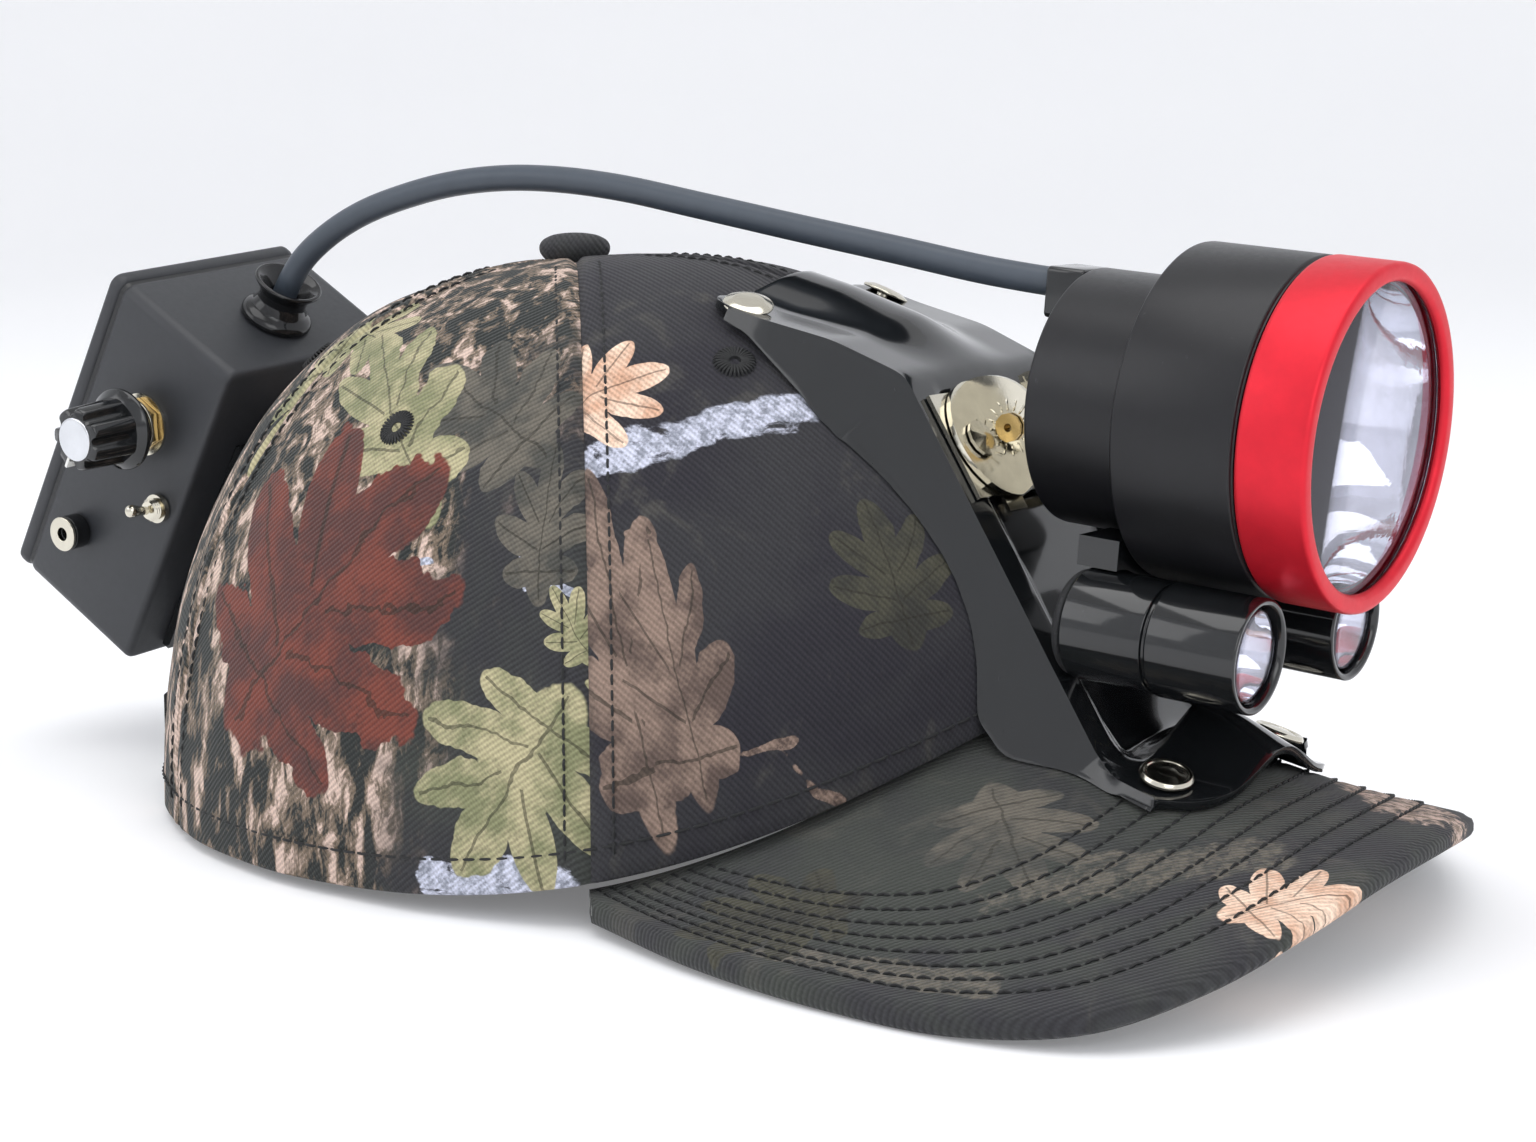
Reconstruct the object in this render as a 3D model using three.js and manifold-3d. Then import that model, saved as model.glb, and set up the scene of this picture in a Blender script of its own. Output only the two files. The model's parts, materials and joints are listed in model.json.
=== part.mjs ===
// A lighted cap: a six-panel cap with a riveted front bracket, a tilting head lamp with
// two auxiliary lamps, and a battery box behind the crown, joined by one cable.
// Millimetres, +X towards the front of the cap, +Y to the wearer's left, +Z up.
// Everything is laid out in the cap's own axes (crown apex near x = 0, hem on z = 0);
// the last lines move the whole group so that its origin is the middle of its footprint.

import * as THREE from 'three';
import { mergeVertices } from 'three/addons/utils/BufferGeometryUtils.js';
import Module from 'manifold-3d';

const wasm = await Module();
wasm.setup();

// ---------------------------------------------------------------- driving dimensions
const GAP = 0.3;                 // clearance between touching pieces

// cap crown: an ellipse in plan, lifted at the front where the visor bends it up
const CROWN = { centreX: 15.5, halfLength: 107, halfWidth: 85.5, apexX: 0.3, height: 113.3 };
const HEM_LIFT = { front: 38.5, startX: -54.5, power: 4.3 };
const CROWN_ROUND = 2.2;         // superellipse power of the crown's profile
const FRONT_FLATTER = { by: 0.22, spread: 20 };
const FRONT_SWELL = { height: 7.5, x: 58, spreadX: 28, spreadY: 60 };
const CLOTH = 1.7;
const SWEATBAND_GAP = 1.8;
const BUTTON_RADIUS = 7;
const SEAM_ANGLES = [0, 50, 125, 180];
const STRAP_OPENING = { halfWidth: 36, height: 34 };

// visor
const VISOR_ANGLE = 50;          // the visor's corners, seen from the crown apex
const VISOR_SAG = 3;
const VISOR_LAYERS = [
  { name: 'visor_under_cloth', from: 0, to: 1 },
  { name: 'visor_board', from: 1.3, to: 3.1 },
  { name: 'visor_top_cloth', from: 3.4, to: 4.4 },
];
const VISOR_THICKNESS = 4.4;
const VISOR_EDGE = [             // from the right corner round the front to the left corner
  [66, -78, 2], [96, -87.5, 0.8], [125, -92, 0.1], [150, -92, 0.2], [170, -85.5, 2.6],
  [182, -70, 7.2], [188.5, -48, 12.2], [191, -24, 15.8], [191.5, 0, 17], [187.5, 20, 14.8],
  [181, 36, 11.2], [172, 52, 7.4], [160, 67, 3.8], [145, 80, 1.2], [125, 90, 0.2],
  [97, 88, 0.8], [66, 78, 2],
];

// front bracket: one folded sheet
const SHEET = 1.6;
const BRACKET_CLEAR = 0.75;      // between the bracket and the crown under it
const FOLD_TOP = new THREE.Vector3(96.8, 0, 96.6);
const WALL_LEAN = 32 * Math.PI / 180;
const wallOut = new THREE.Vector3(Math.cos(WALL_LEAN), 0, Math.sin(WALL_LEAN));
const wallUp = new THREE.Vector3(-Math.sin(WALL_LEAN), 0, Math.cos(WALL_LEAN));
const HINGE_DROP = 15.5;         // from the top fold down the wall to the hinge line
const CROWN_RIVET = { x: 60.7, y: 23.3 };
const VISOR_RIVET = { x: 149.4, y: 22 };
const RIVET_HEAD = 4.8;
const RIVET_SHANK = 1.6;
const RIVET_STAND = 1.6;         // head underside above the bracket where the sheet is curved

// hinge
const HINGE_RADIUS = 11.8;
const EAR_Y = 10;                // middle of the hinge ear
const PIVOT_OUT = 6.2;           // pivot axis in front of the bracket wall
const CROWN_BEHIND_WALL = 5.2;   // the bracket presses the crown's front back to here
const TONGUE_RADIUS = 4.4;

// head lamp, along its own axis from the front face backwards
const LAMP_FRONT = new THREE.Vector3(178.2, 0, 87.7);
const LAMP_PITCH = 4.6 * Math.PI / 180;
const LAMP = { radius: 30.6, rearRadius: 23.4, bezel: 13.1, step: 36.75, length: 57.8, window: 27 };
const AUX = { radius: 10.2, length: 34, joint: 17.2, setBack: 9.6, y: 19.6, below: 37.2 };

// battery box, in its own axes: x from the lid into the box, z along its length
const BOX = { length: 79.4, width: 54.2, depth: 39.7, lid: 3.8, wall: 2, corner: 3 };
const BOX_LID_CENTRE = new THREE.Vector3(-126, 0, 78.2);
const BOX_LEAN = 31.9 * Math.PI / 180;
const BOX_ROLL = 5 * Math.PI / 180;
const GLAND_X = 25;
const KNOB_AT = { x: 22.4, z: 14.7 };
const JACK_AT = { x: 15.1, z: -20.1 };
const TOGGLE_AT = { x: 34.2, z: 0.2 };
const HOOK = { from: -109.4, to: -86.4, z: 27, width: 16, sheet: 2.6, drop: 16 };

// cable from the box's gland over the crown to the lamp
const CABLE_RADIUS = 2.7;
const CABLE_ROUTE = [
  [-83.5, -1.8, 98.9], [-80.9, -2.2, 103.1], [-78, -2.5, 107.4], [-73.5, -2.5, 112.5],
  [-66, -2.3, 117.8], [-56.5, -2, 122.4], [-45, -1.6, 126], [-32, -1.2, 128.8],
  [-18, -0.8, 130.2], [-4, -0.4, 130.1], [12, 0, 128.6], [32, 0, 125.4], [56, 0, 121.4],
  [79, 0, 117.7], [97, 0, 114.7], [107, 0, 113.4], [113.4, 0, 112.7],
];

// ---------------------------------------------------------------- materials
const paint = (color, roughness, metalness = 0) => ({ color, roughness, metalness });
const LOOK = {
  cloth: paint(0x3b3a35, 0.95),
  band: paint(0x1c1c1c, 0.9),
  board: paint(0x9a9c98, 0.7),
  gloss: paint(0x0c0d0e, 0.15),
  satin: paint(0x17181a, 0.4, 0.3),
  nickel: paint(0xc9c3b4, 0.22, 1),
  brass: paint(0xb9923c, 0.3, 1),
  red: paint(0xd21f2c, 0.3, 0.5),
  glass: paint(0xdfe6ee, 0.05),
  mirror: paint(0xf2f4f6, 0.05, 1),
  rubber: paint(0x2b3036, 0.65),
  circuit: paint(0x1f5b35, 0.5),
  led: paint(0xf0e6a0, 0.4),
  cell: paint(0x2a5fa8, 0.35),
  case: paint(0x1a1b1d, 0.6),
};

// ---------------------------------------------------------------- solids
function closed(geometry) {
  const bare = geometry.clone();
  for (const name of Object.keys(bare.attributes)) {
    if (name !== 'position') bare.deleteAttribute(name);
  }
  const merged = mergeVertices(bare, 1e-4);
  const place = merged.attributes.position;
  const kept = [];
  let volume = 0;
  const [a, b, c] = [new THREE.Vector3(), new THREE.Vector3(), new THREE.Vector3()];
  for (let i = 0; i < merged.index.count; i += 3) {
    const [p, q, r] = [0, 1, 2].map((k) => merged.index.getX(i + k));
    if (p === q || q === r || r === p) continue;
    kept.push(p, q, r);
    a.fromBufferAttribute(place, p);
    b.fromBufferAttribute(place, q);
    c.fromBufferAttribute(place, r);
    volume += a.dot(b.cross(c));
  }
  if (volume < 0) kept.reverse();
  merged.setIndex(kept);
  return merged;
}

function toManifold(geometry) {
  const ready = closed(geometry);
  return new wasm.Manifold(new wasm.Mesh({
    numProp: 3,
    vertProperties: new Float32Array(ready.attributes.position.array),
    triVerts: new Uint32Array(ready.index.array),
  }));
}

function toGeometry(manifold) {
  const mesh = manifold.getMesh();
  const geometry = new THREE.BufferGeometry();
  geometry.setAttribute('position', new THREE.BufferAttribute(mesh.vertProperties, 3));
  geometry.setIndex(new THREE.BufferAttribute(mesh.triVerts, 1));
  return geometry;
}

const minus = (body, ...tools) => toGeometry(
  tools.reduce((solid, tool) => solid.subtract(toManifold(tool)), toManifold(body)));
const plus = (body, ...more) => toGeometry(
  more.reduce((solid, extra) => solid.add(toManifold(extra)), toManifold(body)));

// A turned piece about +X: the profile is [x, radius] points.
function turned(profile, segments = 32) {
  const points = profile.map(([x, r]) => new THREE.Vector2(r, x));
  const geometry = new THREE.LatheGeometry(points, segments);
  geometry.rotateZ(-Math.PI / 2);
  return closed(geometry);
}

const ring = (x0, x1, inner, outer, segments) => turned(
  [[x0, inner], [x1, inner], [x1, outer], [x0, outer], [x0, inner]], segments);
const disc = (x0, x1, radius, segments) => turned([[x0, 0], [x0, radius], [x1, radius], [x1, 0]], segments);

// A block with given sizes, its middle at the given place.
function block(size, place) {
  const geometry = new THREE.BoxGeometry(...size);
  geometry.translate(...place);
  return geometry;
}

// A plate: an outline of [y, z] points, standing between two x values.
function plate(outline, x0, x1) {
  const shape = new THREE.Shape(outline.map(([y, z]) => new THREE.Vector2(y, z)));
  return standing(shape, x0, x1);
}

function standing(shape, x0, x1, curveSegments = 8) {
  const geometry = new THREE.ExtrudeGeometry(shape, { depth: x1 - x0, bevelEnabled: false, curveSegments });
  geometry.translate(0, 0, x0);
  geometry.rotateX(Math.PI / 2);
  geometry.rotateZ(Math.PI / 2);
  return closed(geometry);
}

function roundedOutline(width, height, radius) {
  const [w, h] = [width / 2, height / 2];
  const shape = new THREE.Shape();
  shape.moveTo(-w + radius, -h);
  shape.lineTo(w - radius, -h);
  shape.absarc(w - radius, -h + radius, radius, -Math.PI / 2, 0);
  shape.absarc(w - radius, h - radius, radius, 0, Math.PI / 2);
  shape.absarc(-w + radius, h - radius, radius, Math.PI / 2, Math.PI);
  shape.absarc(-w + radius, -h + radius, radius, Math.PI, 1.5 * Math.PI);
  return shape;
}

// A closed slab between two grids of points of the same size.
function slab(top, bottom) {
  const rows = top.length;
  const columns = top[0].length;
  const points = [...top.flat(), ...bottom.flat()];
  const at = (side, i, j) => side * rows * columns + i * columns + j;
  const index = [];
  const quad = (a, b, c, d) => index.push(a, b, c, a, c, d);
  for (let i = 0; i < rows - 1; i += 1) {
    for (let j = 0; j < columns - 1; j += 1) {
      quad(at(0, i, j), at(0, i + 1, j), at(0, i + 1, j + 1), at(0, i, j + 1));
      quad(at(1, i, j), at(1, i, j + 1), at(1, i + 1, j + 1), at(1, i + 1, j));
    }
    quad(at(0, i, 0), at(1, i, 0), at(1, i + 1, 0), at(0, i + 1, 0));
    quad(at(0, i, columns - 1), at(0, i + 1, columns - 1), at(1, i + 1, columns - 1), at(1, i, columns - 1));
  }
  for (let j = 0; j < columns - 1; j += 1) {
    quad(at(0, 0, j), at(0, 0, j + 1), at(1, 0, j + 1), at(1, 0, j));
    quad(at(0, rows - 1, j), at(1, rows - 1, j), at(1, rows - 1, j + 1), at(0, rows - 1, j + 1));
  }
  const geometry = new THREE.BufferGeometry().setFromPoints(points);
  geometry.setIndex(index);
  return closed(geometry);
}

const spread = (count, from = 0, to = 1) => Array.from(
  { length: count + 1 }, (_, i) => from + (to - from) * i / count);
const radians = THREE.MathUtils.degToRad;

// ---------------------------------------------------------------- assembly helpers
const assembly = new THREE.Group();

function part(parent, name, geometry, look) {
  const mesh = new THREE.Mesh(closed(geometry), new THREE.MeshStandardMaterial(look));
  mesh.name = name;
  parent.add(mesh);
  return mesh;
}

// Moves a geometry made along +X so that +X points along the given direction.
function aimed(geometry, place, direction) {
  const turn = new THREE.Quaternion().setFromUnitVectors(new THREE.Vector3(1, 0, 0), direction.clone().normalize());
  return geometry.applyQuaternion(turn).translate(place.x, place.y, place.z);
}

// ---------------------------------------------------------------- crown
function hemRadius(angle, inset) {
  const [c, s] = [Math.cos(angle), Math.sin(angle)];
  const [a, b] = [CROWN.halfLength - inset, CROWN.halfWidth - inset];
  const dx = CROWN.apexX - CROWN.centreX;
  const p = (c / a) ** 2 + (s / b) ** 2;
  const q = 2 * dx * c / a ** 2;
  const r = (dx / a) ** 2 - 1;
  return (-q + Math.sqrt(q * q - 4 * p * r)) / (2 * p);
}

function hemHeight(x) {
  const reach = CROWN.centreX + CROWN.halfLength - HEM_LIFT.startX;
  const t = Math.max(0, (x - HEM_LIFT.startX) / reach);
  return HEM_LIFT.front * t ** HEM_LIFT.power;
}

// A point on the crown: t is 0 at the hem and 1 at the apex; inset moves it inwards.
function crownPoint(angle, t, inset = 0) {
  const fromFront = Math.atan2(Math.sin(angle), Math.cos(angle)) / radians(FRONT_FLATTER.spread);
  const power = CROWN_ROUND - FRONT_FLATTER.by * Math.exp(-0.5 * fromFront ** 2);
  const across = Math.max(0, Math.cos(t * Math.PI / 2)) ** (2 / power);
  const rise = Math.sin(t * Math.PI / 2) ** (2 / power);
  const radius = hemRadius(angle, inset);
  const hem = hemHeight(CROWN.apexX + hemRadius(angle, 0) * Math.cos(angle));
  const x = CROWN.apexX + across * radius * Math.cos(angle);
  const y = across * radius * Math.sin(angle);
  const swellX = Math.exp(-0.5 * ((x - FRONT_SWELL.x) / FRONT_SWELL.spreadX) ** 2);
  const swellY = Math.exp(-0.5 * (y / FRONT_SWELL.spreadY) ** 2);
  const swell = FRONT_SWELL.height * rise ** 2 * swellX * swellY;
  const point = new THREE.Vector3(x, y, hem + (CROWN.height - inset - hem) * rise + swell);
  const pressed = point.clone().sub(FOLD_TOP).dot(wallOut) + CROWN_BEHIND_WALL + inset;
  return pressed > 0 ? point.addScaledVector(wallOut, -pressed) : point;
}

const CROWN_TOP_T = 0.962;       // the panels stop short of the apex, under the button

function crownPanel(from, to) {
  const grid = (inset) => spread(8, 0, CROWN_TOP_T).map((t) => spread(6).map((k) => {
    const middle = radians(from + (to - from) * k);
    const across = hemRadius(middle, 0) * Math.max(0.06, Math.cos(t * Math.PI / 2));
    const seam = (0.5 * GAP / across) * (1 - 2 * k);
    return crownPoint(middle + seam * Math.sign(to - from), t, inset);
  }));
  return slab(grid(0), grid(CLOTH));
}

// The crown as a full dome, grown by an offset, to cut what rests on it.
function crownCutter(offset) {
  const half = SEAM_ANGLES.slice(1).flatMap((to, k) => spread(6, SEAM_ANGLES[k], to).slice(0, -1));
  const angles = [...half, 180, ...half.slice(1).reverse().map((k) => -k)];
  const levels = [...spread(8, 0, CROWN_TOP_T), 0.999];
  const outline = levels.map((t) => angles.map((k) => crownPoint(radians(k), t, -offset)));
  const points = outline.flat();
  const count = outline[0].length;
  const index = [];
  for (let i = 0; i < outline.length - 1; i += 1) {
    for (let j = 0; j < count; j += 1) {
      const next = (j + 1) % count;
      index.push(i * count + j, i * count + next, (i + 1) * count + next);
      index.push(i * count + j, (i + 1) * count + next, (i + 1) * count + j);
    }
  }
  const [low, high] = [points.length, points.length + 1];
  points.push(new THREE.Vector3(CROWN.centreX, 0, -5));
  points.push(new THREE.Vector3(CROWN.apexX, 0, CROWN.height + offset + 0.01));
  const last = (outline.length - 1) * count;
  for (let j = 0; j < count; j += 1) {
    const next = (j + 1) % count;
    index.push(low, next, j);
    index.push(high, last + j, last + next);
  }
  const geometry = new THREE.BufferGeometry().setFromPoints(points);
  geometry.setIndex(index);
  return closed(geometry);
}

function strapOpening() {
  const shape = new THREE.Shape();
  shape.absellipse(0, 0, STRAP_OPENING.halfWidth, STRAP_OPENING.height, 0, Math.PI);
  shape.lineTo(-STRAP_OPENING.halfWidth, -10);
  shape.lineTo(STRAP_OPENING.halfWidth, -10);
  return standing(shape, -110, -50, 12);
}

function rivetAxis(place, side, slope) {
  return { at: new THREE.Vector3(place.x, side * place.y, place.z), along: new THREE.Vector3(...slope) };
}

function surfaceUnder(x, y) {
  // height of the crown's outer surface straight below a point near its front
  const angle = Math.atan2(y, x - CROWN.apexX);
  let [low, high] = [0, 0.999];
  const target = Math.hypot(x - CROWN.apexX, y);
  for (let k = 0; k < 40; k += 1) {
    const t = (low + high) / 2;
    const p = crownPoint(angle, t);
    if (Math.hypot(p.x - CROWN.apexX, p.y) > target) low = t;
    else high = t;
  }
  return crownPoint(angle, low).z;
}

// A rivet along +X: the head's underside is at x = 0 and the shank runs back to -length.
const rivet = (length) => turned([
  [-length, 0], [-length, RIVET_SHANK], [0, RIVET_SHANK], [0, RIVET_HEAD], [0.5, RIVET_HEAD],
  [1.3, RIVET_HEAD * 0.5], [1.4, 0]], 14);
const rivetHole = () => disc(-9, 6, RIVET_SHANK + GAP, 10);
const lifted = (r) => r.at.clone().addScaledVector(r.along.clone().normalize(), RIVET_STAND);

const CROWN_RIVETS = [-1, 1].map((side) => rivetAxis(
  { ...CROWN_RIVET, z: surfaceUnder(CROWN_RIVET.x, CROWN_RIVET.y) + SHEET + 0.9 }, side, [0.34, side * 0.3, 1]));

function addCrown(group) {
  const sides = [['right', -1], ['left', 1]];
  const panels = ['front', 'side', 'rear'];
  for (const [sideName, side] of sides) {
    for (let k = 0; k < panels.length; k += 1) {
      let panel = crownPanel(side * SEAM_ANGLES[k], side * SEAM_ANGLES[k + 1]);
      if (panels[k] === 'front') {
        const at = CROWN_RIVETS[side < 0 ? 0 : 1];
        panel = minus(panel, aimed(rivetHole(), at.at, at.along));
      }
      if (panels[k] === 'rear') panel = minus(panel, strapOpening());
      part(group, `crown_panel_${panels[k]}_${sideName}`, panel, LOOK.cloth);
    }
  }
  const dome = turned([[-2.2, 0], [-2.2, 3], [0, 3], [0, BUTTON_RADIUS], [1.6, BUTTON_RADIUS + 0.4],
    [3.6, BUTTON_RADIUS - 0.9], [5, 0]], 16);
  dome.rotateY(-Math.PI / 2);
  part(group, 'crown_button', dome.translate(CROWN.apexX, 0, CROWN.height + 1), LOOK.cloth);
}

function addSweatband(group) {
  const inset = CLOTH + SWEATBAND_GAP;
  const grid = (extra) => spread(2).map((v) => spread(30, -158, 158).map((k) => {
    const p = crownPoint(radians(k), 0.02 + 0.14 * v, inset + extra);
    p.z += 1;
    return p;
  }));
  part(group, 'sweatband', slab(grid(0), grid(1)), LOOK.band);
}

function addStrap(group) {
  const half = 28;
  const bend = (angle, out) => {
    const r = hemRadius(radians(angle), 0) + out;
    return [CROWN.apexX + r * Math.cos(radians(angle)), r * Math.sin(radians(angle))];
  };
  const rows = (z0, z1, out, from, to) => [z0, z1].map((z) => spread(12, from, to).map((k) => {
    const [x, y] = bend(k, out);
    return new THREE.Vector3(x, y, z);
  }));
  const strap = slab(rows(2, 21, 0.4 + 1.2, 180 - half, 180 + half), rows(2, 21, 0.4, 180 - half, 180 + half));
  part(group, 'closure_strap', strap, LOOK.band);
  const loop = slab(rows(1, 22, 3.1, 190, 196), rows(1, 22, 1.9, 190, 196));
  part(group, 'strap_buckle', loop, LOOK.nickel);
}

// ---------------------------------------------------------------- visor
const visorEdge = new THREE.CatmullRomCurve3(VISOR_EDGE.map((p) => new THREE.Vector3(...p)), false, 'centripetal');

// A point on the visor's underside: u runs from -1 (right corner) to 1, v from seam to edge.
function visorPoint(u, v, up = 0) {
  const angle = radians(VISOR_ANGLE) * u;
  const radius = hemRadius(angle, 4);
  const seam = new THREE.Vector3(CROWN.apexX + radius * Math.cos(angle), radius * Math.sin(angle), 0);
  seam.z = hemHeight(CROWN.apexX + hemRadius(angle, 0) * Math.cos(angle)) - VISOR_THICKNESS - 0.6;
  const edge = visorEdge.getPoint((u + 1) / 2);
  const point = seam.lerp(edge, v);
  point.z += up - VISOR_SAG * Math.sin(Math.PI * v) * (1 - u * u);
  return point;
}

function visorSlab(from, to, grow = 0) {
  const grid = (up) => spread(5, -grow * 0.02, 1 + grow * 0.01)
    .map((v) => spread(12, -1, 1).map((u) => visorPoint(u, v, up)));
  return slab(grid(to), grid(from));
}

function visorHeight(x, y) {
  let [u, v] = [0, 0.4];
  for (let k = 0; k < 60; k += 1) {
    const p = visorPoint(u, v, VISOR_THICKNESS);
    u += (y - p.y) * 0.006;
    v += (x - p.x) * 0.006;
  }
  return visorPoint(u, v, VISOR_THICKNESS).z;
}

const VISOR_RIVETS = [-1, 1].map((side) => rivetAxis(
  { ...VISOR_RIVET, z: visorHeight(VISOR_RIVET.x, -VISOR_RIVET.y) + SHEET + 1 }, side, [0.28, side * 0.22, 1]));

function addVisor(group) {
  const holes = () => VISOR_RIVETS.map((r) => aimed(rivetHole(), r.at, r.along));
  for (const layer of VISOR_LAYERS) {
    const look = layer.name === 'visor_board' ? LOOK.board : LOOK.cloth;
    part(group, layer.name, minus(visorSlab(layer.from, layer.to), ...holes()), look);
  }
}

// ---------------------------------------------------------------- front bracket
// Stations from the crown tabs, over the top fold, down the wall and out on the visor:
// the fold line's x and z, the direction in which the side walls turn, and their depth.
const onWall = (drop) => FOLD_TOP.clone().addScaledVector(wallUp, -drop);

function bracketStations() {
  const station = (at, inward, wall, half, lift, recess) => ({ at, inward, wall, half, lift, recess });
  const down = new THREE.Vector3(-0.25, 0, -0.97);
  const corner = new THREE.Vector3(-0.62, 0, -0.78);
  const back = wallOut.clone().negate();
  const floor = new THREE.Vector3(0, 0, -1);
  const plateAt = (x) => new THREE.Vector3(x, 0, visorHeight(x, -24) + SHEET + 0.7);
  return [
    station(new THREE.Vector3(54.5, 0, surfaceUnder(54.5, 25) + 2.6), down, 1.6, 28, 4.5, 0),
    station(new THREE.Vector3(66, 0, surfaceUnder(63, 25) + 3), down, 3, 28, 5, 0),
    station(new THREE.Vector3(82, 0, 102.4), down, 11, 26.5, 3.5, 0),
    station(FOLD_TOP, corner, 19, 25, 0.2, 0),
    station(onWall(4), back, 18, 25, 0, 0),
    station(onWall(7.5), back, 17, 25, 0, 2),
    station(onWall(30), back, 15, 25, 0, 2),
    station(onWall(55), back, 13, 25, 0, 2),
    station(onWall(68), back, 14, 25, 0, 2),
    station(onWall(77), back, 16, 25, 0.5, 0.6),
    station(plateAt(144), floor, 1.6, 28.5, 6.5, 0),
    station(plateAt(152), floor, 1.6, 30.5, 6, 0),
    station(plateAt(160.5), floor, 1.6, 29, 2, 0),
  ];
}

function bracketGrid() {
  const columns = [-1.02, -1, -0.78, -0.62, -0.3, 0, 0.3, 0.62, 0.78, 1, 1.02];
  return bracketStations().map(({ at, inward, wall, half, lift, recess }) => columns.map((k) => {
    const side = Math.sign(k);
    const flared = Math.abs(k) > 1;
    const depth = (flared ? wall : 0) + (Math.abs(k) < 0.7 ? recess : 0);
    const swell = lift * Math.cos(Math.min(1, Math.abs(k) / 0.62) * Math.PI / 2) ** 2;
    const point = at.clone().addScaledVector(inward, depth - swell);
    point.y = flared ? side * (half + 0.38 * wall) : k * half;
    if (inward.z === -1) point.z += visorHeight(point.x, point.y) - visorHeight(point.x, -24);
    return point;
  }));
}

function thickened(grid, thickness) {
  const clampRow = (i) => Math.min(grid.length - 1, Math.max(0, i));
  const clampColumn = (j) => Math.min(grid[0].length - 1, Math.max(0, j));
  const inner = grid.map((row, i) => row.map((point, j) => {
    const along = grid[clampRow(i + 1)][j].clone().sub(grid[clampRow(i - 1)][j]).normalize();
    const ahead = row[clampColumn(j + 1)].clone().sub(point).normalize();
    const behind = point.clone().sub(row[clampColumn(j - 1)]).normalize();
    const normal = along.clone().cross(ahead.add(behind)).normalize();
    return point.clone().addScaledVector(normal, -thickness * Math.sign(normal.dot(wallOut) + normal.z * 0.5 || 1));
  }));
  return slab(grid, inner);
}

function addBracket(group) {
  let sheet = minus(thickened(bracketGrid(), SHEET), crownCutter(BRACKET_CLEAR), visorSlab(-20, VISOR_THICKNESS + 0.35, 3));
  for (const r of [...CROWN_RIVETS, ...VISOR_RIVETS]) sheet = minus(sheet, aimed(rivetHole(), r.at, r.along));
  const wallHoles = [-1, 1].map((side) => hingeRivetHole(side));
  part(group, 'front_bracket', minus(sheet, ...wallHoles), LOOK.gloss);
  const sides = ['right', 'left'];
  CROWN_RIVETS.forEach((r, k) => {
    part(group, `crown_rivet_${sides[k]}`, aimed(rivet(6), lifted(r), r.along), LOOK.nickel);
  });
  VISOR_RIVETS.forEach((r, k) => {
    part(group, `visor_rivet_${sides[k]}`, aimed(rivet(8), lifted(r), r.along), LOOK.nickel);
  });
}

// ---------------------------------------------------------------- hinge
const HINGE_RIVET_Y = 15.8;
const hingeLine = onWall(HINGE_DROP);

function toWall(geometry) {
  geometry.rotateY(-WALL_LEAN);
  return geometry.translate(hingeLine.x, hingeLine.y, hingeLine.z);
}

const hingeRivetHole = (side) => toWall(disc(-6, 6, 1.9, 10).translate(0, side * HINGE_RIVET_Y, 0));

function halfDisc(radius) {
  const shape = new THREE.Shape();
  shape.absarc(0, 0, radius, -Math.PI / 2, Math.PI / 2);
  return shape;
}

function hingeEar(side) {
  const sheet = 1;
  const flat = standing(halfDisc(HINGE_RADIUS), 1.4, 1.4 + sheet, 10);
  if (side < 0) flat.rotateX(Math.PI);
  flat.translate(0, side * (EAR_Y + 0.4), 0);
  const ear = new THREE.ExtrudeGeometry(halfDisc(HINGE_RADIUS), { depth: sheet, bevelEnabled: false, curveSegments: 10 });
  ear.rotateX(Math.PI / 2);
  ear.translate(1.4, side * EAR_Y + sheet / 2, 0);
  const bent = plus(flat, ear, block([sheet, 1.6, 2 * HINGE_RADIUS - 1.2], [1.9, side * EAR_Y, 0]));
  const pivotHole = disc(-3, 3, 1.9, 10).rotateZ(Math.PI / 2).translate(PIVOT_OUT, side * EAR_Y, 0);
  const rivetHoleFlat = disc(-4, 6, 1.9, 10).translate(0, side * HINGE_RIVET_Y, 0);
  return toWall(minus(bent, pivotHole, rivetHoleFlat));
}

function pivotPin(side) {
  const [inner, outer] = [EAR_Y - 3.2, EAR_Y + 1.4];
  const pin = turned([[inner, 0.8], [inner, 2.7], [inner + 0.6, 2.7], [inner + 0.6, 1.5],
    [outer - 0.6, 1.5], [outer - 0.6, 2.7], [outer, 2.7], [outer, 0.8], [inner, 0.8]], 10);
  pin.rotateZ(side * Math.PI / 2);
  return toWall(pin.translate(PIVOT_OUT, 0, 0));
}

function addHinge(group) {
  const outline = [[-22.5, 10.5], [22.5, 10.5], [22.5, -10.5], [15, -10.5], [15, -14], [9, -14], [9, -10.5],
    [-9, -10.5], [-9, -14], [-15, -14], [-15, -10.5], [-22.5, -10.5]];
  const holes = [-1, 1].map((side) => disc(-4, 6, 1.9, 10).translate(0, side * HINGE_RIVET_Y, 0));
  part(group, 'hinge_back_plate', toWall(minus(plate(outline, 0.3, 1.1), ...holes)), LOOK.nickel);
  for (const [name, side] of [['right', -1], ['left', 1]]) {
    part(group, `hinge_ear_${name}`, hingeEar(side), LOOK.nickel);
    const stud = turned([[-3.4, 0], [-3.4, 1.6], [2.7, 1.6], [2.7, 3.6], [3.3, 3.6], [4.1, 0]], 12);
    part(group, `hinge_rivet_${name}`, toWall(stud.translate(0, side * HINGE_RIVET_Y, 0)), LOOK.nickel);
    part(group, `hinge_pivot_${name}`, pivotPin(side), LOOK.brass);
  }
}

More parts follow.
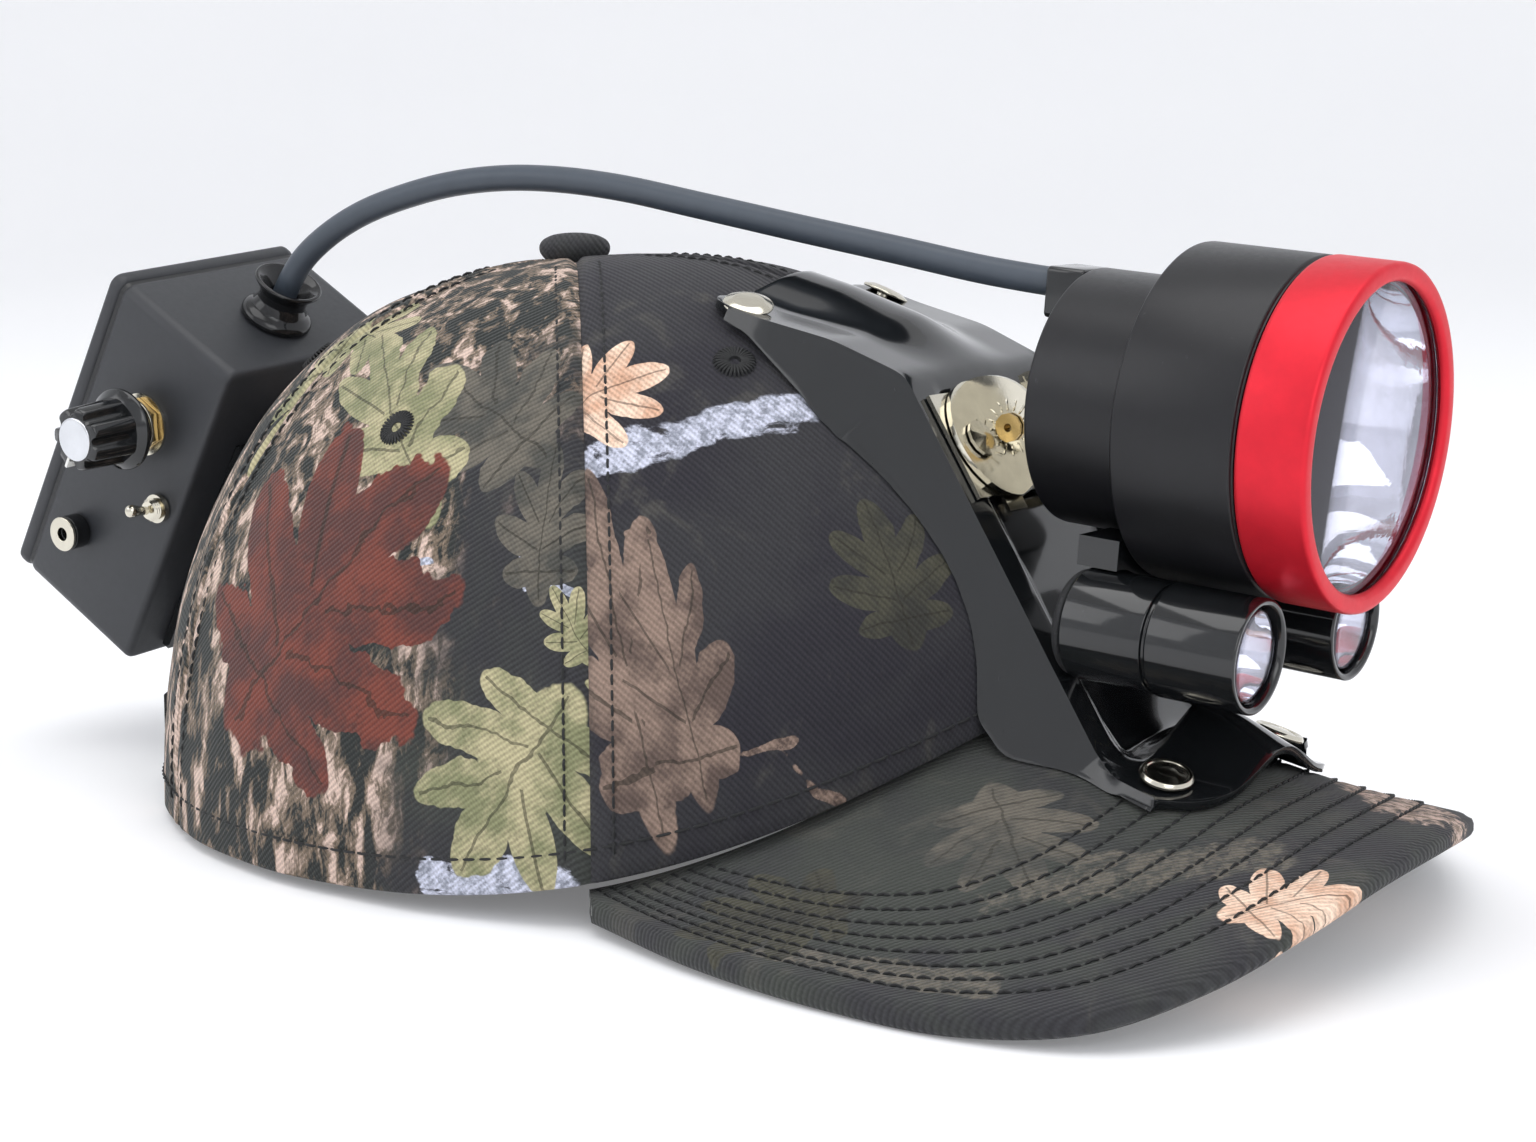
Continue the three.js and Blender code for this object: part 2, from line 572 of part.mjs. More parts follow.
// ---------------------------------------------------------------- head lamp
function addLamp(group) {
  const { radius, rearRadius, bezel, step, length, window } = LAMP;
  const shell = turned([
    [-length, 0], [-length, rearRadius - 1], [-length + 1, rearRadius], [-step, rearRadius],
    [-step, radius - 1], [-step + 1, radius - 0.2], [-bezel - GAP, radius - 0.2], [-bezel - GAP, radius - 3],
    [-step + 3, radius - 3], [-step + 3, rearRadius - 3], [-length + 4, rearRadius - 3], [-length + 4, 0],
  ], 32);
  const wireHole = disc(-length - 2, -length + 6, 1.6, 12).translate(0, 0, 14);
  part(group, 'lamp_housing', minus(shell, wireHole), LOOK.satin);
  part(group, 'lamp_bezel', turned([
    [-bezel, radius], [-0.8, radius], [0, radius - 0.8], [0, window], [-1.6, window],
    [-1.6, radius - 2.3], [-bezel, radius - 2.3], [-bezel, radius]], 32), LOOK.red);
  part(group, 'lamp_lens', disc(-4.2, -1.6 - GAP, radius - 2.7, 32), LOOK.glass);
  const seal = spread(6, 0, 2 * Math.PI).map((k) => [-5.3 + 0.7 * Math.cos(k), radius - 3.7 + 0.7 * Math.sin(k)]);
  part(group, 'lamp_seal', turned(seal, 24), LOOK.rubber);
  const cup = (k, grow) => [-31.5 + 24.8 * k, 5 + 20.2 * Math.sqrt(k) + grow];
  const profile = [...spread(5).map((k) => cup(k, 0)), ...spread(5).reverse().map((k) => cup(k, 1))];
  part(group, 'lamp_reflector', turned([...profile, profile[0]], 24), LOOK.mirror);
  part(group, 'lamp_led_board', disc(-34.2, -33, 12, 24), LOOK.circuit);
  part(group, 'lamp_led', turned([[-32.7, 0], [-32.7, 3.4], [-32, 3.4], [-31, 2.4], [-30.2, 0]], 16), LOOK.led);
  const sink = turned([[-50, 0], [-50, 18], [-46, 18], [-46, 12], [-44, 12], [-44, 18], [-40, 18], [-40, 12],
    [-38, 12], [-38, 18], [-34.5, 18], [-34.5, 0]], 16);
  part(group, 'lamp_heat_sink', sink, LOOK.nickel);

  const entry = block([7.6, 11, 9.4], [-length - GAP - 3.8, 0, 18.4]);
  const notch = block([3, 4, 12], [-length - 7.4, -6.5, 20]);
  part(group, 'cable_entry_block', minus(entry, notch), LOOK.gloss);
}

function addYoke(group, pivot) {
  const { length } = LAMP;
  const base = block([1.2, 22, 13], [-length - GAP - 0.6, 0, pivot.z + 1]);
  const tongues = [-1, 1].map((side) => {
    const shape = new THREE.Shape();
    shape.absarc(pivot.x, pivot.z, TONGUE_RADIUS, Math.PI / 2, 1.5 * Math.PI);
    shape.lineTo(-length - GAP - 0.2, pivot.z - TONGUE_RADIUS - 1);
    shape.lineTo(-length - GAP - 0.2, pivot.z + TONGUE_RADIUS + 1);
    const tongue = new THREE.ExtrudeGeometry(shape, { depth: 1.2, bevelEnabled: false, curveSegments: 10 });
    tongue.rotateX(Math.PI / 2);
    return tongue.translate(0, side * (EAR_Y - 1.55) + 0.6, 0);
  });
  const hole = disc(-20, 20, 1.8, 16).rotateZ(Math.PI / 2).translate(pivot.x, 0, pivot.z);
  part(group, 'lamp_yoke', minus(plus(base, ...tongues), hole), LOOK.nickel);
}

function addAuxiliary(group, name, side) {
  const lamp = new THREE.Group();
  lamp.position.set(-AUX.setBack, side * AUX.y, -AUX.below);
  group.add(lamp);
  const { radius, length, joint } = AUX;
  const body = turned([[-length, 0], [-length, radius - 0.6], [-length + 0.6, radius], [-joint - 1.4, radius],
    [-joint - 1.4, radius - 0.8], [-joint - GAP, radius - 0.8], [-joint - GAP, radius - 2],
    [-length + 2, radius - 2], [-length + 2, 0]], 20);
  part(lamp, `aux_body_${name}`, body, LOOK.gloss);
  const head = turned([[-joint, radius - 1.6], [-joint, radius], [-0.5, radius], [0, radius - 0.5], [0, radius - 1.6],
    [-joint, radius - 1.6]], 20);
  part(lamp, `aux_head_${name}`, head, LOOK.gloss);
  part(lamp, `aux_end_cap_${name}`, turned([[-length - 2.2, 0], [-length - 2.2, radius - 1.6],
    [-length - 1.4, radius - 0.8], [-length - GAP, radius - 0.8], [-length - GAP, 0]], 20), LOOK.rubber);
  part(lamp, `aux_lens_${name}`, disc(-2.6, -1.2, radius - 1.9, 20), LOOK.glass);
  const cone = turned([[-14.5, 1.6], [-3, radius - 2.6], [-3, radius - 1.9], [-14.5, 2.6], [-14.5, 1.6]], 16);
  part(lamp, `aux_reflector_${name}`, cone, LOOK.mirror);
}

function addAuxBracket(group) {
  const body = block([8, 42, 20], [-LAMP.step - 5, 0, -31.5]);
  const around = (r, y, z) => disc(-LAMP.length - 5, 0, r, 28).translate(0, y, z);
  const cut = minus(body,
    around(LAMP.rearRadius + GAP, 0, 0),
    around(AUX.radius + GAP, -AUX.y, -AUX.below),
    around(AUX.radius + GAP, AUX.y, -AUX.below),
    block([20, 60, 20], [-LAMP.step - 5, 0, -AUX.below - 14]));
  part(group, 'aux_bracket', cut, LOOK.gloss);
}

// ---------------------------------------------------------------- battery box
function addBox(group) {
  const { length, width, depth, lid, wall, corner } = BOX;
  const outline = roundedOutline(width, length, corner);
  const inner = roundedOutline(width - 2 * wall, length - 2 * wall, corner - 1.4);
  const shell = standing(outline, lid + GAP, depth, 4);
  const hollow = standing(inner, lid, depth - wall, 4);
  const sideHole = (at, r) => disc(-8, 8, r, 20).rotateZ(Math.PI / 2).translate(at.x, -width / 2, at.z);
  const glandHole = disc(-8, 8, 3.2, 16).rotateY(Math.PI / 2).translate(GLAND_X, 0, length / 2);
  const holes = [glandHole, sideHole(KNOB_AT, 3.6), sideHole(JACK_AT, 3.3), sideHole(TOGGLE_AT, 2.6)];
  part(group, 'box_shell', minus(shell, hollow, ...holes), LOOK.case);
  part(group, 'box_lid', standing(outline, 0, lid, 4), LOOK.case);
  const cells = standing(roundedOutline(40, 66, 6), 16.5, 34.5, 4).translate(0, 3, -2);
  part(group, 'battery_pack', cells, LOOK.cell);
  part(group, 'control_board', block([1.6, 40, 64], [8, 3, -2]), LOOK.circuit);
  const flare = turned([[GAP, 2.8], [GAP, 7.2], [1.6, 7.4], [3.4, 5.4], [5.4, 5], [8, 6.4], [9.4, 7.4], [10, 7],
    [9.2, 5.6], [6.4, 3.2], [GAP, 2.8]], 16);
  part(group, 'cable_gland', flare.rotateY(-Math.PI / 2).translate(GLAND_X, 0, length / 2), LOOK.rubber);
}

// Pieces on the box's right side are turned along +X and then pointed to -Y.
function onSide(geometry, at) {
  return geometry.rotateZ(-Math.PI / 2).translate(at.x, -BOX.width / 2, at.z);
}

function addControls(group) {
  const bushing = turned([[-4, 0], [-4, 6.5], [-2.3, 6.5], [-2.3, 3.2], [GAP, 3.2], [GAP, 5.4], [1.6, 5.4],
    [1.6, 4.4], [2.2, 4.4], [2.2, 5.2], [3.4, 5.2], [3.4, 3.4], [6, 3.4], [6, 0]], 14);
  part(group, 'knob_bushing', onSide(bushing, KNOB_AT), LOOK.nickel);
  const skirt = turned([[6.4, 0], [6.4, 6.9], [7.8, 6.9], [9, 6], [9, 0]], 24);
  const flutes = new THREE.Shape(spread(32, 0, 2 * Math.PI).slice(0, -1).map((k) => {
    const r = 5.5 + 0.55 * Math.cos(8 * k);
    return new THREE.Vector2(r * Math.cos(k), r * Math.sin(k));
  }));
  const knob = plus(skirt, standing(flutes, 8.5, 20, 1));
  const seat = disc(19, 24, 4.3, 16);
  part(group, 'knob', onSide(minus(knob, seat), KNOB_AT), LOOK.gloss);
  part(group, 'knob_cap', onSide(disc(19.3, 20.4, 4, 16), KNOB_AT), LOOK.nickel);

  const jack = turned([[-6, 0], [-6, 3], [GAP, 3], [GAP, 3.5], [4.2, 3.5], [4.2, 1.3], [-2, 1.3], [-2, 0]], 16);
  part(group, 'charge_jack', onSide(jack, JACK_AT), LOOK.gloss);
  part(group, 'charge_jack_ring', onSide(ring(4.5, 5.3, 1.5, 3.9, 20), JACK_AT), LOOK.nickel);

  const neck = turned([[-5, 0], [-5, 3.2], [-2.3, 3.2], [-2.3, 2.2], [GAP, 2.2], [GAP, 3.6], [1.5, 3.6],
    [1.5, 2.4], [3.4, 2.4], [3.4, 0]], 12);
  part(group, 'toggle_bushing', onSide(neck, TOGGLE_AT), LOOK.nickel);
  const lever = turned([[0.6, 0], [0.6, 0.9], [5.4, 1.4], [6.4, 1.1], [6.8, 0]], 8);
  lever.rotateY(-radians(12));
  part(group, 'toggle_lever', onSide(lever.translate(3.4, 0, 0), TOGGLE_AT), LOOK.nickel);
}

// The mount clip: a pad on the box's front face, two feet against the crown, and an arm
// that goes in through the strap opening and hooks down behind the closure strap.
function clipGeometry(boxMatrix) {
  const front = BOX.depth + GAP;
  const pad = block([2, 34, 56], [front + 1, 0, -9]);
  const feet = [-1, 1].map((side) => block([14, 7, 16], [front + 8, side * 13, 8]));
  const onCrown = minus(plus(pad, ...feet).applyMatrix4(boxMatrix), crownCutter(0.5));
  const arm = block([HOOK.to - HOOK.from, HOOK.width, HOOK.sheet], [(HOOK.from + HOOK.to) / 2, 0, HOOK.z]);
  const lipZ = HOOK.z + (HOOK.sheet - HOOK.drop) / 2;
  const lip = block([HOOK.sheet, HOOK.width, HOOK.drop], [HOOK.to - HOOK.sheet / 2, 0, lipZ]);
  return plus(onCrown, arm, lip);
}

// ---------------------------------------------------------------- cable
function cableTube() {
  const curve = new THREE.CatmullRomCurve3(CABLE_ROUTE.map((p) => new THREE.Vector3(...p)), false, 'centripetal');
  const section = new THREE.Shape(spread(8, 0, 2 * Math.PI).slice(0, -1)
    .map((k) => new THREE.Vector2(CABLE_RADIUS * Math.cos(k), CABLE_RADIUS * Math.sin(k))));
  return new THREE.ExtrudeGeometry(section, { steps: 30, bevelEnabled: false, extrudePath: curve });
}

// ---------------------------------------------------------------- build
addCrown(assembly);
addSweatband(assembly);
addStrap(assembly);
addVisor(assembly);
addBracket(assembly);
addHinge(assembly);

const lampGroup = new THREE.Group();
lampGroup.position.copy(LAMP_FRONT);
lampGroup.rotation.y = LAMP_PITCH;
assembly.add(lampGroup);
lampGroup.updateMatrixWorld(true);
const pivot = hingeLine.clone().addScaledVector(wallOut, PIVOT_OUT);
const pivotInLamp = lampGroup.worldToLocal(pivot.clone());
addLamp(lampGroup);
addYoke(lampGroup, pivotInLamp);
addAuxiliary(lampGroup, 'right', -1);
addAuxiliary(lampGroup, 'left', 1);
addAuxBracket(lampGroup);

const boxGroup = new THREE.Group();
boxGroup.position.copy(BOX_LID_CENTRE);
boxGroup.rotation.set(BOX_ROLL, BOX_LEAN, 0, 'XYZ');
assembly.add(boxGroup);
boxGroup.updateMatrixWorld(true);
addBox(boxGroup);
addControls(boxGroup);
part(assembly, 'box_mount_clip', clipGeometry(boxGroup.matrixWorld), LOOK.gloss);
part(assembly, 'cable', cableTube(), LOOK.rubber);

// The origin is the middle of the footprint, on the surface that the cap stands on.
const bounds = new THREE.Box3().setFromObject(assembly, true);
const middle = bounds.getCenter(new THREE.Vector3());
assembly.position.set(-middle.x, -middle.y, -bounds.min.z);

export default assembly;
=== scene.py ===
"""Looks for the cap lamp: cloth, metals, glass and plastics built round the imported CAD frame.

Shapes are laid out in the cap's own axes in millimetres (as in the CAD source) and moved
to the row frame in metres by CAP. +X is the front of the cap and +Z is up.
"""

import json
import math

import bmesh
import bpy
import numpy as np
from mathutils import Matrix, Vector

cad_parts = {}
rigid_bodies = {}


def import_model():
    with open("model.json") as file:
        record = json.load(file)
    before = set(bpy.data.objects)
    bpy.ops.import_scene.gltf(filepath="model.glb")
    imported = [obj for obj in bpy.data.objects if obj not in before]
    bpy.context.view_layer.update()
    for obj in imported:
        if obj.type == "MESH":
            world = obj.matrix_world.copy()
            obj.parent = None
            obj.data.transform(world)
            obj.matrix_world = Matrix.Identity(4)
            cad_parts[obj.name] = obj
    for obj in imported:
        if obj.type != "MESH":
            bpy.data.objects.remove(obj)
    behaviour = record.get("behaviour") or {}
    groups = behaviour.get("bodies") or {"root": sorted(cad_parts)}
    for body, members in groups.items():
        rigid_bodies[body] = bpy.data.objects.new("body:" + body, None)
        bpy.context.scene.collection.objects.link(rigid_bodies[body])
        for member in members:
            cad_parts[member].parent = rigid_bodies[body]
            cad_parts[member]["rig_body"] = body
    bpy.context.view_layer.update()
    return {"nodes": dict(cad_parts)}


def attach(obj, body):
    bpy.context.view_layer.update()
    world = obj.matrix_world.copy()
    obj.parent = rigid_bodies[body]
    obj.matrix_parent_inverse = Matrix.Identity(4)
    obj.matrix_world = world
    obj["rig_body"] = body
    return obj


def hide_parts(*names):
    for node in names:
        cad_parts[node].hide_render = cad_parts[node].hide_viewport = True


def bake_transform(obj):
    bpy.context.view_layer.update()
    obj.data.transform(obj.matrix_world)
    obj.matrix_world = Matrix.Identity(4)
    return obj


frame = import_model()

# ---------------------------------------------------------------- driving dimensions (mm)
ORIGIN = Vector((22.2605, -1.4951, -0.0534))      # the row's origin in the cap's axes
CAP = Matrix.Scale(0.001, 4) @ Matrix.Translation(-ORIGIN)

CROWN = {"centre_x": 15.5, "half_length": 107.0, "half_width": 85.5, "apex_x": 0.3, "height": 113.3}
HEM_LIFT = {"front": 38.5, "start_x": -54.5, "power": 4.3}
CROWN_ROUND = 2.2
FRONT_FLATTER = {"by": 0.22, "spread": 20.0}
FRONT_SWELL = {"height": 7.5, "x": 58.0, "spread_x": 28.0, "spread_y": 60.0}
CLOTH = 1.7
CROWN_TOP = 0.962
SEAM_ANGLES = [0, 50, 125, 180]
STRAP_OPENING = {"half_width": 36.0, "height": 34.0}
CROWN_ARC = 150.0                # about how far it is over the cloth from hem to apex
NEAR_APEX_Z = 112.0              # above this the crown is taken to face as it does here

VISOR_ANGLE = 50.0
VISOR_SAG = 3.0
VISOR_THICKNESS = 4.4
VISOR_EDGE = [                   # from the right corner round the front to the left corner
    (66, -78, 2), (96, -87.5, 0.8), (125, -92, 0.1), (150, -92, 0.2), (170, -85.5, 2.6),
    (182, -70, 7.2), (188.5, -48, 12.2), (191, -24, 15.8), (191.5, 0, 17), (187.5, 20, 14.8),
    (181, 36, 11.2), (172, 52, 7.4), (160, 67, 3.8), (145, 80, 1.2), (125, 90, 0.2),
    (97, 88, 0.8), (66, 78, 2),
]

SHEET = 1.6
FOLD_TOP = np.array([96.8, 0.0, 96.6])
WALL_LEAN = math.radians(32)
WALL_OUT = np.array([math.cos(WALL_LEAN), 0.0, math.sin(WALL_LEAN)])
WALL_UP = np.array([-math.sin(WALL_LEAN), 0.0, math.cos(WALL_LEAN)])
HINGE_DROP = 15.5
CROWN_BEHIND_WALL = 5.2
FOOT_BEND = 138.0                # x where the sheet has turned from the wall to the visor
FOOT_LINE_Y = -24.0              # the foot rows take their height from the visor here
OVER_VISOR_X = 110.0             # forward of this the side walls end on the visor
BRACKET = {"half": 27.0, "corner": 6.0, "front_round": 8.0, "splay": 0.38}
CROWN_RIVET = (60.7, 23.3)
VISOR_RIVET = (149.4, 22.0)
RIVET_HEAD = 4.8
RIVET_STAND = 0.5
PIVOT_OUT = 6.2
EAR_Y = 10.0

LAMP = {"radius": 30.6, "rear": 23.4, "bezel": 13.1, "step": 36.75, "length": 57.8, "window": 27.0}
LAMP_FRAME = Matrix.Translation((178.2, 0, 87.7)) @ Matrix.Rotation(math.radians(4.6), 4, "Y")
AUX = {"radius": 10.2, "length": 34.0, "joint": 17.2, "set_back": 9.6, "y": 19.6, "below": 37.2}

BOX = {"length": 79.4, "width": 54.2, "depth": 39.7, "lid": 3.8, "wall": 2.0, "corner": 3.0}
BOX_FRAME = (Matrix.Translation((-126, 0, 78.2)) @ Matrix.Rotation(math.radians(5), 4, "X")
             @ Matrix.Rotation(math.radians(31.9), 4, "Y"))
GLAND_X = 25.0
KNOB_AT = (22.4, 14.7)
JACK_AT = (15.1, -20.1)
TOGGLE_AT = (34.2, 0.2)

CABLE_RADIUS = 2.7
CABLE_ROUTE = [
    (-83.5, -1.8, 98.9), (-80.9, -2.2, 103.1), (-78, -2.5, 107.4), (-73.5, -2.5, 112.5),
    (-66, -2.3, 117.8), (-56.5, -2, 122.4), (-45, -1.6, 126), (-32, -1.2, 128.8),
    (-18, -0.8, 130.2), (-4, -0.4, 130.1), (12, 0, 128.6), (32, 0, 125.4), (56, 0, 121.4),
    (79, 0, 117.7), (97, 0, 114.7), (107, 0, 113.4), (113.4, 0, 112.7),
]

CAMERA = {"place": (382.5105, -470.0, 141.2666), "azimuth": 35.375, "elevation": 8.648, "lens": 68.86}


def mesh_piece(name, points, faces, material, body="root", stands_for=(), slot=None,
               within=None, sharp=38.0, bevel=0.0, weld=True):
    """A mesh object from points in mm, riding on a body. within places them in the cap's axes."""
    place = CAP @ within if within is not None else CAP
    mesh = bpy.data.meshes.new(name)
    mesh.from_pydata([place @ Vector(p) for p in points], [], faces)
    shape = bmesh.new()
    shape.from_mesh(mesh)
    if weld:
        bmesh.ops.remove_doubles(shape, verts=shape.verts, dist=1e-6)
        bmesh.ops.recalc_face_normals(shape, faces=shape.faces)
    if bevel:
        crisp = [e for e in shape.edges if len(e.link_faces) == 2
                 and e.calc_face_angle(0.0) > math.radians(sharp)]
        bmesh.ops.bevel(shape, geom=crisp, offset=bevel * 0.001, segments=3, profile=0.5,
                        affect="EDGES", clamp_overlap=True)
    for face in shape.faces:
        face.smooth = True
    for edge in shape.edges:
        if len(edge.link_faces) == 2:
            edge.smooth = edge.calc_face_angle(0.0) < math.radians(sharp)
    shape.to_mesh(mesh)
    shape.free()
    piece = bpy.data.objects.new(name, mesh)
    bpy.context.scene.collection.objects.link(piece)
    mesh.materials.append(material)
    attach(piece, body)
    if stands_for:
        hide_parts(*stands_for)
    return piece


def grid_faces(rows, columns, closed_rows=False, closed_columns=False):
    faces = []
    for i in range(rows if closed_rows else rows - 1):
        for j in range(columns if closed_columns else columns - 1):
            a, b = i % rows, (i + 1) % rows
            c, d = j % columns, (j + 1) % columns
            faces.append((a * columns + c, b * columns + c, b * columns + d, a * columns + d))
    return faces


def softened(profile, radius=0.3, steps=3):
    """A turned profile with its inner corners rounded off."""
    out = [profile[0]]
    for before, here, after in zip(profile, profile[1:], profile[2:]):
        p, a, b = (np.array(v, float) for v in (here, before, after))
        reach = min(radius, np.linalg.norm(a - p) / 2.1, np.linalg.norm(b - p) / 2.1)
        start = p + (a - p) / np.linalg.norm(a - p) * reach
        end = p + (b - p) / np.linalg.norm(b - p) * reach
        for k in range(steps + 1):
            w = k / steps
            out.append(tuple((1 - w) ** 2 * start + 2 * w * (1 - w) * p + w * w * end))
    out.append(profile[-1])
    return out


def turned(name, profile, material, within, segments=64, radius=0.3, **facts):
    """A piece turned about its own +X from (x, radius) points."""
    outline = softened(profile, radius) if radius else profile
    points = []
    for x, r in outline:
        for k in range(segments):
            turn = 2 * math.pi * k / segments
            points.append((x, r * math.cos(turn), r * math.sin(turn)))
    faces = grid_faces(len(outline), segments, closed_columns=True)
    return mesh_piece(name, points, faces, material, within=within, **facts)


def prism(name, outline, x0, x1, material, within, bevel=0.3, **facts):
    """A piece with an outline of (y, z) points, standing between two x values."""
    count = len(outline)
    points = [(x, y, z) for x in (x0, x1) for y, z in outline]
    faces = [tuple(range(count)), tuple(range(2 * count - 1, count - 1, -1))]
    faces += [(k, (k + 1) % count, count + (k + 1) % count, count + k) for k in range(count)]
    return mesh_piece(name, points, faces, material, within=within, bevel=bevel, **facts)


def rounded(width, height, radius, steps=6):
    """An outline of (y, z) points of a rounded rectangle."""
    corners = [(1, 1, 0), (-1, 1, 90), (-1, -1, 180), (1, -1, 270)]
    out = []
    for sx, sy, start in corners:
        for k in range(steps + 1):
            turn = math.radians(start + 90 * k / steps)
            out.append((sx * (width / 2 - radius) + radius * math.cos(turn),
                        sy * (height / 2 - radius) + radius * math.sin(turn)))
    return out


def frames_along(path):
    """Unit tangent, normal and binormal at each point of a path, without twist."""
    path = np.array(path, float)
    tangents = np.gradient(path, axis=0)
    tangents /= np.linalg.norm(tangents, axis=1)[:, None]
    normal = np.cross(tangents[0], (0.0, 1.0, 0.0))
    if np.linalg.norm(normal) < 0.1:
        normal = np.cross(tangents[0], (1.0, 0.0, 0.0))
    frames = []
    for tangent in tangents:
        normal = normal - tangent * np.dot(normal, tangent)
        normal = normal / np.linalg.norm(normal)
        frames.append((tangent, normal, np.cross(tangent, normal)))
    return frames


def tube_mesh(path, radii, sides=16):
    """Points and faces of a tube with closed ends along a path."""
    points = []
    for place, radius, (_, normal, binormal) in zip(np.array(path, float), radii, frames_along(path)):
        for k in range(sides):
            turn = 2 * math.pi * k / sides
            points.append(tuple(place + radius * (math.cos(turn) * normal + math.sin(turn) * binormal)))
    faces = grid_faces(len(path), sides, closed_columns=True)
    faces.append(tuple(range(sides)))
    faces.append(tuple(range(len(path) * sides - 1, (len(path) - 1) * sides - 1, -1)))
    return points, faces


def joined(parts):
    """Several (points, faces) pairs as one."""
    points, faces = [], []
    for some_points, some_faces in parts:
        start = len(points)
        points += list(some_points)
        faces += [tuple(start + i for i in face) for face in some_faces]
    return points, faces


def evenly(path, step):
    """The same path with points a fixed step apart."""
    path = np.array(path, float)
    gaps = np.linalg.norm(np.diff(path, axis=0), axis=1)
    along = np.concatenate([[0], np.cumsum(gaps)])
    places = np.arange(0, along[-1], step)
    return np.stack([np.interp(places, along, path[:, k]) for k in range(3)], axis=1)


def stitch_row(path, outward, pitch=2.7, thread=0.27):
    """Stitches along a path: each is a short bowed thread. outward gives a direction at a point."""
    places = evenly(path, pitch)
    parts = []
    for here, there in zip(places[:-1], places[1:]):
        lift = np.array(outward(here), float)
        run = (there - here) * 0.8
        bow = [here + run * w + lift * (0.34 * math.sin(math.pi * w) - 0.1) for w in (0, 0.15, 0.5, 0.85, 1)]
        parts.append(tube_mesh(bow, [0.55 * thread, thread, thread, thread, 0.55 * thread], 6))
    return joined(parts)


# ---------------------------------------------------------------- shader helpers
def linear(red, green, blue):
    """A colour given as the eye sees it, 0 to 255, for a shader."""
    return tuple((v / 255 / 12.92 if v <= 10 else ((v / 255 + 0.055) / 1.055) ** 2.4)
                 for v in (red, green, blue)) + (1.0,)


def add(tree, kind, inputs=None, **settings):
    node = tree.nodes.new(kind)
    for key, value in settings.items():
        setattr(node, key, value)
    for key, value in (inputs or {}).items():
        if isinstance(value, bpy.types.NodeSocket):
            tree.links.new(value, node.inputs[key])
        else:
            node.inputs[key].default_value = value
    return node


def calc(tree, operation, *values, clamp=False):
    node = add(tree, "ShaderNodeMath", dict(enumerate(values)), operation=operation)
    node.use_clamp = clamp
    return node.outputs[0]


def vector(tree, operation, *values):
    node = add(tree, "ShaderNodeVectorMath", dict(enumerate(values)), operation=operation)
    return node.outputs["Value" if operation in ("DOT_PRODUCT", "LENGTH") else "Vector"]


def step_up(tree, value, low, high):
    node = add(tree, "ShaderNodeMapRange", {"Value": value, "From Min": low, "From Max": high},
               interpolation_type="SMOOTHSTEP")
    return node.outputs[0]


def noise(tree, place, scale, detail=3.0, rough=0.5, distortion=0.0):
    node = add(tree, "ShaderNodeTexNoise", {"Vector": place, "Scale": scale, "Detail": detail,
                                            "Roughness": rough, "Distortion": distortion})
    return node.outputs[0]


def mixed(tree, factor, first, second, mode="MIX"):
    node = tree.nodes.new("ShaderNodeMix")
    node.data_type = "RGBA"
    node.blend_type = mode
    for index, value in ((0, factor), (6, first), (7, second)):
        if isinstance(value, bpy.types.NodeSocket):
            tree.links.new(value, node.inputs[index])
        else:
            node.inputs[index].default_value = value
    return node.outputs[2]


def new_material(name, **sockets):
    """A material and its tree, surface shader and place in the cap's axes in mm."""
    material = bpy.data.materials.new(name)
    material.use_nodes = True
    tree = material.node_tree
    surface = tree.nodes["Principled BSDF"]
    for key, value in sockets.items():
        surface.inputs[key.replace("_", " ")].default_value = value
    where = add(tree, "ShaderNodeTexCoord").outputs["Object"]
    place = vector(tree, "MULTIPLY_ADD", where, (1000.0,) * 3, tuple(ORIGIN))
    return material, tree, surface, place


def raise_surface(tree, surface, height, depth_mm, strength=1.0):
    bump = add(tree, "ShaderNodeBump", {"Height": height, "Distance": depth_mm * 0.001, "Strength": strength})
    tree.links.new(bump.outputs[0], surface.inputs["Normal"])


# ---------------------------------------------------------------- printed twill
# The right half of a lobed leaf, 1 long: each lobe's middle, half length, half width and lean
# in degrees.
LOBES = [
    ((0.0, 0.42), 0.38, 0.165, 90),
    ((0.0, 0.78), 0.22, 0.105, 90),
    ((0.17, 0.67), 0.22, 0.092, 50),
    ((0.22, 0.44), 0.24, 0.100, 25),
    ((0.15, 0.23), 0.18, 0.085, 0),
]
VEIN_HALF_WIDTH = 0.0065
VEIN_REACH = 0.9                 # share of a lobe's half length that its vein runs
LEAF_REACH = 1.35                # a leaf is printed no further than this from its foot


